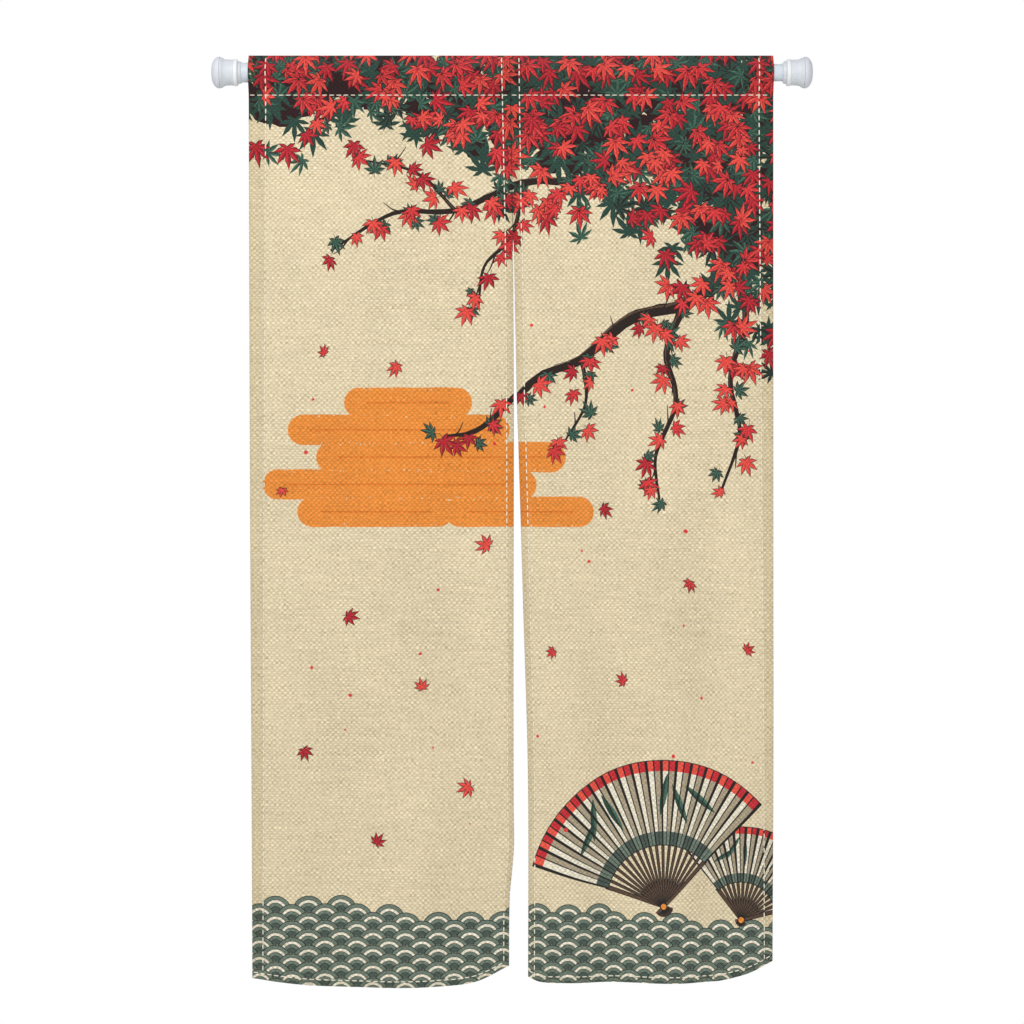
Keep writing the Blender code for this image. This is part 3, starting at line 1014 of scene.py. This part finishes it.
def placed(name, data, material=None):
    """A new object in the scene."""
    made = bpy.data.objects.new(name, data)
    bpy.context.scene.collection.objects.link(made)
    if material:
        data.materials.append(material)
    return made


def mesh_object(name, vertices, faces, material, corner_normals=None):
    mesh = bpy.data.meshes.new(name)
    mesh.from_pydata(vertices.tolist(), [], faces.tolist())
    mesh.shade_smooth()
    if corner_normals is not None:
        mesh.normals_split_custom_set(corner_normals.reshape(-1, 3).tolist())
    return placed(name, mesh, material)


def tube_quads(rings, sides, closed):
    """The faces of a tube of rings of points, where closed says that the last ring joins the first."""
    ring = np.arange(rings if closed else rings - 1)[:, None] * sides
    after = (ring + sides) % (rings * sides)
    side = np.arange(sides)
    beside = (side + 1) % sides
    return np.stack([ring + side, ring + beside, after + beside, after + side], axis=-1).reshape(-1, 4)


def add_corner_colours(mesh, name, colours):
    """Writes linear colours, three for each triangle."""
    layer = mesh.color_attributes.new(name, "FLOAT_COLOR", "CORNER")
    layer.data.foreach_set("color", np.insert(colours.reshape(-1, 3), 3, 1.0, axis=1).ravel())


def add_point_vectors(mesh, name, vectors):
    layer = mesh.attributes.new(name, "FLOAT_VECTOR", "POINT")
    layer.data.foreach_set("vector", np.asarray(vectors, float).ravel())


# Painted shade: the hems are painted darker and browner, standing in for light that shines through the single
# cloth but not through a hem's two layers
HEM_SHADE_TINT = np.array([0.885, 0.878, 0.850])
# Painted shade: the hems darken towards the side edges, where the cloth curves back, over EDGE_SHADE_REACH;
# the thin cut rims take the same darker ground
EDGE_SHADE_TINT = np.array([0.935, 0.935, 0.965])
EDGE_SHADE_REACH = 0.006
FOLD_SHADE = 0.35
SEAM_SHADE = 0.80
REVERSE_TINT = np.array([0.97, 0.96, 0.94])
REVERSE_STRENGTH = 0.30
SHOW_THROUGH_SPREAD = 0.0022
SHOW_THROUGH_SAMPLES = 6


def front_colours(panel, points, faces, ink):
    """The printed face's colours. In the hems, where the cloth lies in two layers, the ink is painted darker
    and browner: painted shade for light that passes the single cloth only, deepening towards the side edges,
    with thin lines of painted shade along the folded edges and the sewn seam.
    """
    width = width_of(panel)
    middles = points[faces].mean(axis=1)
    left_turning, right_turning = turnings(panel, middles[:, 1])
    shaded_hem = (middles[:, 0] < left_turning) | (middles[:, 0] > width - right_turning)
    shaded_hem |= middles[:, 1] > bottom_drop(panel, middles[:, 0]) - BOTTOM_HEM
    u, v = points[faces].transpose(2, 0, 1)
    edge = edge_distance(panel, u)
    # How much of the painted edge shade each corner gets
    near = ramp(1 - edge / EDGE_SHADE_REACH)[..., None]
    sewn = (v < SEAM_END) & ((u < width / 2) == (panel.left_closing > 0))
    shade = np.where(sewn, SEAM_SHADE, FOLD_SHADE) * np.clip(1 - edge / EDGE_LINES[1], 0, 1)
    shade_tint = HEM_SHADE_TINT * (1 - near * (1 - EDGE_SHADE_TINT)) * (1 - shade)[..., None]
    shade_tint = np.where(shaded_hem[:, None, None], shade_tint, 1.0)
    return INK_TABLE[ink][:, None, :] * shade_tint


def reverse_colours(points, faces, art):
    """The reverse's colours: the ground with the print showing through it, soft and faint."""
    rng = np.random.default_rng(5)
    moved = np.tile(points, (SHOW_THROUGH_SAMPLES, 1))
    moved += rng.normal(0, SHOW_THROUGH_SPREAD, moved.shape)
    shown = INK_TABLE[inks_at(moved, art)].reshape(SHOW_THROUGH_SAMPLES, -1, 3).mean(axis=0)
    faint = INK_TABLE[0] * REVERSE_TINT + (shown - INK_TABLE[0]) * REVERSE_STRENGTH
    return faint[faces]


def make_part(panel, part, points, faces, ink, art):
    """One part of the folded sheet as a thin closed shell: vertices, triangles, corner normals and colours,
    and flat places with their distances from the side edges."""
    used, local = np.unique(faces, return_inverse=True)
    front = points[used]
    faces = local.reshape(-1, 3)
    rim = rim_edges(faces)
    net, back_faces, where = reverse_net(panel, part, front, rim)
    printed, _, normals = hung_part(panel, part, front)
    _, reverse, back_normals = hung_part(panel, part, net)
    count = len(printed)
    vertices = np.concatenate([printed, reverse])
    faces = facing(vertices, normals, faces)
    back_faces = facing(reverse, -back_normals, back_faces)
    rim = rim_edges(faces)
    start, end = rim.T
    far_start, far_end = where[rim].T + count
    edge = np.vstack([np.column_stack([start, far_start, far_end]), np.column_stack([start, far_end, end])])
    triangles = np.concatenate([faces, back_faces + count, edge])
    smooth = np.concatenate([normals, -back_normals])[triangles]
    smooth[len(faces) + len(back_faces):] = face_normals(vertices, edge)[:, None, :]
    if part == MAIN:
        back = reverse_colours(net, back_faces, art)
    else:
        back = np.broadcast_to(INK_TABLE[0] * REVERSE_TINT, (len(back_faces), 3, 3))
    # The rims get the ground darkened by the painted edge shade
    side = np.broadcast_to(INK_TABLE[0] * EDGE_SHADE_TINT, (len(edge), 3, 3))
    colours = np.concatenate([front_colours(panel, front, faces, ink), back, side])
    flat = np.concatenate([front, net])
    return vertices, triangles, smooth, colours, np.column_stack([flat, edge_distance(panel, flat[:, 0])])


def make_cloth(panel, art, material):
    points, faces, ink, part, mine = flat_sheet(panel, art)
    shells = []
    for which in range(OFFCUT):
        chosen = part == which
        shells.append(make_part(panel, which, points, faces[chosen], ink[chosen], mine))
    starts = np.cumsum([0] + [len(shell[0]) for shell in shells])
    vertices, _, smooth, colours, flat = (np.concatenate([shell[k] for shell in shells]) for k in range(5))
    triangles = np.concatenate([shell[1] + start for shell, start in zip(shells, starts)])
    made = mesh_object(f"cloth_{panel.name}", vertices, triangles, material, smooth)
    add_corner_colours(made.data, "ink", colours)
    add_point_vectors(made.data, "flat", flat)
    return made


# Stitches

STITCH_LENGTH = 0.0081
STITCH_PITCH = 0.0116
# The two side hems, the pocket and the foot
STITCH_HALF_WIDTHS = (0.00100, 0.00100, 0.00078, 0.00092)
STITCH_HALF_HEIGHT = 0.00036
STITCH_SIDES = 6
# Along a stitch: its place, the share of its thickness and the height of its middle in half heights
STITCH_RINGS = ((0.0, 0.45, -0.6), (0.12, 0.85, 0.6), (0.5, 1.0, 1.0), (0.88, 0.85, 0.6), (1.0, 0.45, -0.6))
FOOT_STITCH = 0.0100
# Where the side hems' stitches end above the foot, and where they begin below the pocket's seam at the back
STITCH_END = 0.004
BACK_START = 0.006
# How near the pocket's seam a stitch counts as one of its own
SEAM_HALF = 0.0015


def stitch_paths(panel):
    """The sewn lines of a cloth, as arrays of flat places."""
    width = width_of(panel)
    down = np.linspace(0.002, 1, 300)
    left, right = (down * (float(bottom_drop(panel, u)) - STITCH_END) for u in (0.012, width - 0.012))
    across = np.linspace(0.0008, width - 0.0008, 120)
    return (
        np.stack([smooth_rows(panel.left_seam, left), left], axis=1),
        np.stack([width - smooth_rows(panel.right_seam, right), right], axis=1),
        np.stack([across, np.full(len(across), POCKET_DROP)], axis=1),
        np.stack([across, bottom_drop(panel, across) - FOOT_STITCH], axis=1),
    )


def stitch_marks(path, rng):
    """Start and end places of the stitches along a flat path."""
    lengths = np.concatenate([[0], np.cumsum(np.linalg.norm(np.diff(path, axis=0), axis=1))])
    marks = []
    at = STITCH_PITCH * 0.1
    while at + STITCH_LENGTH < lengths[-1]:
        length = STITCH_LENGTH * rng.uniform(0.92, 1.06)
        marks.append((at, at + length))
        at += STITCH_PITCH * rng.uniform(0.97, 1.03)
    marks = np.array(marks)
    shares = np.array([ring[0] for ring in STITCH_RINGS])
    along = marks[:, :1] + (marks[:, 1:] - marks[:, :1]) * shares
    return np.stack([np.interp(along, lengths, path[:, k]) for k in range(2)], axis=-1)


def stitch_tubes(panel, places, half_width, behind):
    """Vertices and faces of small flattened tubes of thread at flat places, on the front or at the back."""
    u, v = places[..., 0], places[..., 1]
    centre = surface(panel, u, v)
    normal = surface_normals(panel, u, v)
    if behind:
        below = SHEET + LAYER_GAP + np.where(v < POCKET_DROP - 0.001, POCKET_HEM_LAYER, HEM_LAYER)
        seam = np.abs(v - POCKET_DROP) < SEAM_HALF
        below = np.where(seam, 2 * SOLID_SHEET, below)
        centre = centre - normal * below[..., None]
        normal = -normal
    side = np.cross(unit(np.gradient(centre, axis=1)), normal)
    lift = np.array([ring[2] for ring in STITCH_RINGS])[None, :, None] * STITCH_HALF_HEIGHT
    size = np.array([ring[1] for ring in STITCH_RINGS])[None, :, None, None]
    turns = np.linspace(0, math.tau, STITCH_SIDES, endpoint=False)
    ring = (side[:, :, None, :] * (np.cos(turns) * half_width)[None, None, :, None]
            + normal[:, :, None, :] * (np.sin(turns) * STITCH_HALF_HEIGHT)[None, None, :, None])
    rings = (centre + normal * lift)[:, :, None, :] + ring * size
    count, depth = rings.shape[:2]
    last = (depth - 1) * STITCH_SIDES
    faces = tube_quads(depth, STITCH_SIDES, False)[:, [0, 1, 2, 0, 2, 3]].reshape(-1, 3).tolist()
    for s in range(1, STITCH_SIDES - 1):
        faces += [(0, s + 1, s), (last, last + s, last + s + 1)]
    starts = np.arange(count)[:, None, None] * depth * STITCH_SIDES
    return rings.reshape(-1, 3), (np.array(faces) + starts).reshape(-1, 3)


def make_stitches(panel, material):
    rng = random.Random(7 + len(panel.name))
    vertices, faces = [], []
    first = 0
    for number, path in enumerate(stitch_paths(panel)):
        marks = stitch_marks(path, rng)
        for behind in (False, True):
            places = marks
            if behind and number < 2:
                places = marks[marks[:, 0, 1] > POCKET_DROP + BACK_START]
            tubes, sides = stitch_tubes(panel, places, STITCH_HALF_WIDTHS[number], behind)
            vertices.append(tubes)
            faces.append(sides + first)
            first += len(tubes)
    return mesh_object(f"stitches_{panel.name}", np.concatenate(vertices), np.concatenate(faces), material)


# The rod

TURN_STEPS = 96
SHARP_ANGLE = math.radians(40)
RING_ABOVE = 0.002


def turned(name, profile, material, flip=False, band=None):
    """Turns a closed line of (along, radius) points about the rod's axis. band gives the start, end and
    material of an outer ring in brighter plastic, partly the ring's own lighter colour and partly a painted
    highlight."""
    profile = np.array(profile, float)
    if flip:
        profile[:, 0] = ROD_END - profile[:, 0]
    turns = np.linspace(0, math.tau, TURN_STEPS, endpoint=False)
    rings = np.stack([
        np.repeat(profile[:, :1], TURN_STEPS, axis=1),
        profile[:, 1:] * np.sin(turns),
        profile[:, 1:] * np.cos(turns),
    ], axis=-1)
    faces = tube_quads(len(profile), TURN_STEPS, True)
    made = mesh_object(name, rings.reshape(-1, 3), faces[:, ::-1] if flip else faces, material)
    mesh = made.data
    mesh.set_sharp_from_angle(angle=SHARP_ANGLE)
    if band:
        low, high, ring_highlight_material = band
        mesh.materials.append(ring_highlight_material)
        for face in mesh.polygons:
            along = ROD_END - face.center.x if flip else face.center.x
            if low < along < high and math.hypot(face.center.y, face.center.z) > OUTER_RADIUS + RING_ABOVE:
                face.material_index = 1
    return made


# A cap's outside from the pad's side on, as places along the rod and radii, and the stretch of its ring,
# which is painted brighter, partly as a painted highlight
CAP_OUTLINE = (
    (0.0139, 0.0247), (0.0143, 0.0249), (0.0165, 0.0246), (0.0195, 0.0226), (0.0235, 0.0212),
    (0.0300, 0.0207), (0.0355, 0.0208), (0.0374, 0.0218), (0.0408, 0.0218), (0.0424, 0.0206),
    (0.0433, 0.0186), (0.0472, 0.0176), (0.0479, 0.0171),
)
HIGHLIGHT_RING = (0.0362, 0.0419)
SOCKET_FLOOR = 0.0220
BOSS_RADIUS = 0.0118
BOSS_LENGTH = 0.0050
PAD_FLAT_RADIUS = 0.0070
PAD_DOME = 0.0126
PAD_THICKNESS = 0.0136
AXIS_RADIUS = 0.00002
PAD_STEPS = 14


def make_cap(name, tube_radius, material, ring_highlight_material, flip):
    seat = CAP_OUTLINE[0][0]
    bore = tube_radius + FIT_GAP
    end = CAP_OUTLINE[-1][0]
    profile = [(seat - BOSS_LENGTH, AXIS_RADIUS), (seat - BOSS_LENGTH, BOSS_RADIUS), (seat, BOSS_RADIUS)]
    profile += [*curve_through(CAP_OUTLINE[:7], 4)[:-1], *curve_through(CAP_OUTLINE[6:11], 4)]
    profile += [*CAP_OUTLINE[11:], (end, bore), (SOCKET_FLOOR, bore), (SOCKET_FLOOR, AXIS_RADIUS)]
    return turned(name, profile[::-1], material, flip, (*HIGHLIGHT_RING, ring_highlight_material))


def make_pad(name, material, flip):
    recess = BOSS_RADIUS + FIT_GAP
    floor = PAD_THICKNESS - BOSS_LENGTH
    profile = [(floor, AXIS_RADIUS), (floor, recess), (PAD_THICKNESS, recess),
               (PAD_THICKNESS, PAD_RADIUS - FIT_GAP)]
    for step in range(PAD_STEPS + 1):
        angle = math.pi / 2 * (1 - step / PAD_STEPS)
        radius = PAD_FLAT_RADIUS + (PAD_RADIUS - PAD_FLAT_RADIUS) * math.sin(angle)
        profile.append((PAD_DOME * (1 - math.cos(angle)), radius))
    profile.append((0.0, AXIS_RADIUS))
    return turned(name, profile, material, flip)


TUBE_WALL = 0.0008
TUBE_LIP = 0.0004


def make_tube(name, low, high, radius, material):
    inside_radius = radius - TUBE_WALL
    profile = [(low, radius - TUBE_LIP), (low + TUBE_LIP, radius), (high - TUBE_LIP, radius),
               (high, radius - TUBE_LIP), (high, inside_radius), (low, inside_radius)]
    return turned(name, profile[::-1], material)


# Materials

class Nodes:
    """Short calls for making and joining a material's nodes."""

    def __init__(self, name):
        self.material = bpy.data.materials.new(name)
        self.material.use_nodes = True
        self.tree = self.material.node_tree
        self.shader = self.tree.nodes["Principled BSDF"]

    def feed(self, node, inputs):
        """Sets or joins a node's inputs, given by name or number."""
        for key, value in inputs.items():
            if isinstance(value, bpy.types.NodeSocket):
                self.tree.links.new(value, node.inputs[key])
            else:
                node.inputs[key].default_value = value

    def made(self, kind, output, inputs, **settings):
        """One output of a new node, by name or number."""
        node = self.tree.nodes.new(kind)
        for key, value in settings.items():
            setattr(node, key, value)
        self.feed(node, inputs)
        return node.outputs[output]

    def maths(self, operation, *values):
        return self.made("ShaderNodeMath", 0, dict(enumerate(values)), operation=operation)

    def vector(self, *values):
        return self.made("ShaderNodeCombineXYZ", 0, dict(enumerate(values)))

    def noise(self, vector, scale, detail=2.0):
        return self.made("ShaderNodeTexNoise", "Fac", {"Vector": vector, "Scale": scale, "Detail": detail})

    def spread(self, value, low, high):
        """A noise's middle stretch as a number from low to high."""
        inputs = {"Value": value, "From Min": 0.3, "From Max": 0.7, "To Min": low, "To Max": high}
        return self.made("ShaderNodeMapRange", "Result", inputs)

    def multiplied(self, first, second):
        return self.made("ShaderNodeVectorMath", 0, {0: first, 1: second}, operation="MULTIPLY")

    def toned(self, colour, tone):
        return self.made("ShaderNodeVectorMath", 0, {0: colour, "Scale": tone}, operation="SCALE")

    def bump(self, height, distance, strength):
        inputs = {"Strength": strength, "Distance": distance, "Height": height}
        return self.made("ShaderNodeBump", "Normal", inputs)


WARP_CELL = 0.00424
WEFT_CELL = 0.00403
WANDER = 0.0010
WEAVE_CONTRAST = 0.215
WEAVE_WARMTH = (0.90, 1.00, 1.30)
# The raw edge tucked into each side hem shows as a faint warm line along it
UNDERTURN_PLACE = 0.0072
UNDERTURN_HALF = 0.0024
UNDERTURN_WARMTH = (0.060, 0.030, -0.050)
WEFT_CONTRAST = 0.060


def cloth_material():
    """Printed cloth: the ink of each cut patch under a slubby plain weave."""
    n = Nodes("printed_cloth")
    plus, times, times_plus = (partial(n.maths, kind) for kind in ("ADD", "MULTIPLY", "MULTIPLY_ADD"))
    flat = n.made("ShaderNodeAttribute", "Vector", {}, attribute_name="flat")
    ink = n.made("ShaderNodeAttribute", "Color", {}, attribute_name="ink")
    u, v, edge = n.made("ShaderNodeSeparateXYZ", 0, {0: flat}).node.outputs

    def stretched(across, down, seed, detail=2.0):
        """Noise with its own scales across and down the cloth."""
        return n.noise(n.vector(times(u, across), times(v, down), seed), 1.0, detail)

    warp = n.maths("DIVIDE", times_plus(n.spread(stretched(95.0, 22.0, 0.0), -1, 1), WANDER, u), WARP_CELL)
    weft = n.maths("DIVIDE", times_plus(n.spread(stretched(22.0, 110.0, 9.0), -1, 1), WANDER, v), WEFT_CELL)
    warp_number = n.maths("ROUND", warp)
    weft_number = n.maths("ROUND", weft)
    crossing = times(n.maths("COSINE", times(warp, math.pi)), n.maths("COSINE", times(weft, math.pi)))
    joined = plus(crossing, n.spread(n.noise(flat, 210.0, 1.0), -0.40, 0.40))
    held = n.maths("MAXIMUM", n.maths("MINIMUM", joined, 1.0), -1.0)
    cell = n.vector(warp_number, weft_number)
    chance = n.made("ShaderNodeTexWhiteNoise", "Value", {"Vector": cell}, noise_dimensions="2D")
    strength = times_plus(chance, 0.9, 0.55)
    patchy = n.spread(stretched(45.0, 75.0, 4.0, 3.0), 0.45, 1.30)
    weave = times(times(n.maths("SINE", times(held, 1.5)), strength), times(patchy, WEAVE_CONTRAST))
    ribbed = n.spread(n.noise(flat, 8.0, 1.0), 0.4 * WEFT_CONTRAST, 1.8 * WEFT_CONTRAST)
    weave = times_plus(n.maths("COSINE", times(weft, math.tau)), ribbed, weave)

    by_warp = n.vector(times(warp_number, 7.31), times(v, 22.0))
    by_weft = n.vector(times(u, 18.0), times(weft_number, 5.17), 3.0)
    threads = plus(n.spread(n.noise(by_warp, 1.0), -0.03, 0.03), n.spread(n.noise(by_weft, 1.0), -0.05, 0.05))
    speckle = n.spread(n.noise(flat, 800.0), -0.05, 0.05)
    # Soft large patches of darker and lighter tone: partly random mottling of the cloth, partly painted shade
    # of shallow folds
    mottle_and_fold_shade = n.spread(n.noise(flat, 6.0, 3.0), -0.05, 0.03)
    plain = plus(1.0, plus(threads, plus(speckle, mottle_and_fold_shade)))
    off = n.maths("ABSOLUTE", n.maths("SUBTRACT", edge, UNDERTURN_PLACE))
    under = n.maths("MAXIMUM", n.maths("SUBTRACT", 1.0, n.maths("DIVIDE", off, UNDERTURN_HALF)), 0.0)
    dyed = n.vector(*(times_plus(under, warmer, times_plus(weave, share, plain))
                      for share, warmer in zip(WEAVE_WARMTH, UNDERTURN_WARMTH)))
    fuzz = times(n.noise(flat, 2600.0, 1.0), 0.25)
    n.feed(n.shader, {
        "Base Color": n.multiplied(ink, dyed),
        "Normal": n.bump(plus(times(weave, 1.6), fuzz), 0.00035, 0.5),
        "Roughness": n.spread(n.noise(flat, 300.0), 0.86, 0.97),
        "Sheen Weight": 0.12,
        "Sheen Roughness": 0.6,
        "Specular IOR Level": 0.2,
    })
    return n.material


def thread_material():
    """Twisted cream sewing thread."""
    n = Nodes("sewing_thread")
    place = n.made("ShaderNodeTexCoord", "Object", {})
    n.feed(n.shader, {
        "Base Color": n.toned(linear((255, 248, 226)), n.spread(n.noise(place, 1500.0), 0.90, 1.06)),
        "Roughness": n.spread(n.noise(place, 700.0), 0.6, 0.8),
        "Normal": n.bump(n.noise(place, 2400.0), 0.0003, 0.5),
        "Sheen Weight": 0.1,
    })
    return n.material


def hard_material(name, colour, low_rough, high_rough, grain, grain_depth):
    """Painted metal or moulded plastic: faint uneven tone, gloss and grain."""
    n = Nodes(name)
    place = n.made("ShaderNodeTexCoord", "Object", {})
    n.feed(n.shader, {
        "Base Color": n.toned(linear(colour), n.spread(n.noise(place, 60.0, 3.0), 0.975, 1.015)),
        "Roughness": n.spread(n.noise(place, 140.0, 3.0), low_rough, high_rough),
        "Normal": n.bump(n.noise(place, grain), grain_depth, 0.35),
    })
    return n.material


# Stage, camera and light

PHOTO_WIDTH_M = 1.652
LENS = 100.0
SENSOR = 36.0
VIEW_X = 0.4844
VIEW_Z = -0.709
FLOOR_Z = -1.98
FLOOR_CORNERS = ((-5.0, -6.0), (5.0, -6.0), (5.0, 2.3), (-5.0, 2.3))


def add_floor():
    n = Nodes("pale_floor")
    place = n.made("ShaderNodeTexCoord", "Object", {})
    tone = n.spread(n.noise(place, 1.5, 3.0), 0.985, 1.01)
    n.feed(n.shader, {"Base Color": n.toned((0.86, 0.86, 0.85), tone), "Roughness": 0.9})
    corners = np.array([(x, y, FLOOR_Z) for x, y in FLOOR_CORNERS])
    mesh_object("floor", corners, np.array([(0, 1, 2, 3)]), n.material)


def add_camera():
    data = bpy.data.cameras.new("camera")
    data.lens = LENS
    data.sensor_width = SENSOR
    made = placed("camera", data)
    made.location = (VIEW_X, -PHOTO_WIDTH_M * LENS / SENSOR, VIEW_Z)
    made.rotation_euler = (math.pi / 2, 0, 0)
    bpy.context.scene.camera = made


Lamp = namedtuple("Lamp", "name place target size power")
LAMPS = (
    Lamp("key", (-1.3, -3.0, 1.6), (0.45, 0, -0.45), 2.4, 76.0),
    Lamp("fill", (2.6, -2.8, 0.2), (0.48, 0, -0.7), 2.6, 26.0),
    Lamp("back_fill", (0.5, 3.2, 0.8), (0.48, 0, -0.6), 2.6, 40.0),
)


def add_lamps():
    for lamp in LAMPS:
        data = bpy.data.lights.new(lamp.name, "AREA")
        data.shape = "DISK"
        data.size = lamp.size
        data.energy = lamp.power
        made = placed(lamp.name, data)
        made.location = lamp.place
        way = Vector(lamp.target) - Vector(lamp.place)
        made.rotation_euler = way.to_track_quat("-Z", "Y").to_euler()


ROOM_LIGHT = 0.40


def add_world():
    """Even white room light, with the background itself pure white."""
    world = bpy.data.worlds.new("studio")
    bpy.context.scene.world = world
    world.use_nodes = True
    tree = world.node_tree
    back = tree.nodes["Background"]
    back.inputs["Color"].default_value = (1, 1, 1, 1)
    path = tree.nodes.new("ShaderNodeLightPath")
    seen = tree.nodes.new("ShaderNodeMapRange")
    seen.inputs["To Min"].default_value = ROOM_LIGHT
    seen.inputs["To Max"].default_value = 1.0
    tree.links.new(path.outputs["Is Camera Ray"], seen.inputs["Value"])
    tree.links.new(seen.outputs["Result"], back.inputs["Strength"])
    bpy.context.scene.view_settings.view_transform = "Standard"
    bpy.context.scene.view_settings.look = "None"


def carry(piece, node=None):
    """Fixes a piece to the object's one body and hides the solid that it stands for, if one is given."""
    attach(piece, "root")
    if node:
        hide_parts(node)


def add_cloths():
    art = draw_print()
    cloth = cloth_material()
    thread = thread_material()
    for panel, tubes in zip(PANELS, (["rod_outer"], ["rod_outer", "rod_inner"])):
        sheet = make_cloth(panel, art, cloth)
        stitches = make_stitches(panel, thread)
        carry(sheet, panel.node)
        carry(stitches)


def add_rod():
    paint = hard_material("white_paint", (222, 231, 239), 0.28, 0.40, 900.0, 0.0001)
    plastic = hard_material("white_plastic", (225, 231, 237), 0.36, 0.50, 500.0, 0.0002)
    # The caps' rings in a lighter copy of the cap plastic: partly their own lighter colour, partly a painted
    # highlight
    ring = hard_material("ring_plastic", (250, 252, 254), 0.30, 0.42, 500.0, 0.0001)
    soft = hard_material("white_pad", (230, 232, 242), 0.50, 0.62, 350.0, 0.0003)
    outer = make_tube("rod_outer", OUTER_LOW[0], OUTER_HIGH[0], OUTER_RADIUS, paint)
    inner = make_tube("rod_inner", INNER_LOW[0], INNER_HIGH[0], INNER_RADIUS, paint)
    carry(outer, "rod_outer_tube")
    carry(inner, "rod_inner_tube")
    sides = (("left", OUTER_RADIUS, False), ("right", INNER_RADIUS, True))
    for side, radius, flip in sides:
        carry(make_cap(f"end_cap_{side}", radius, plastic, ring, flip), f"cap_{side}")
    for side, _, flip in sides:
        carry(make_pad(f"end_pad_{side}", soft, flip), f"pad_{side}")


add_cloths()
add_rod()
add_floor()
add_camera()
add_lamps()
add_world()
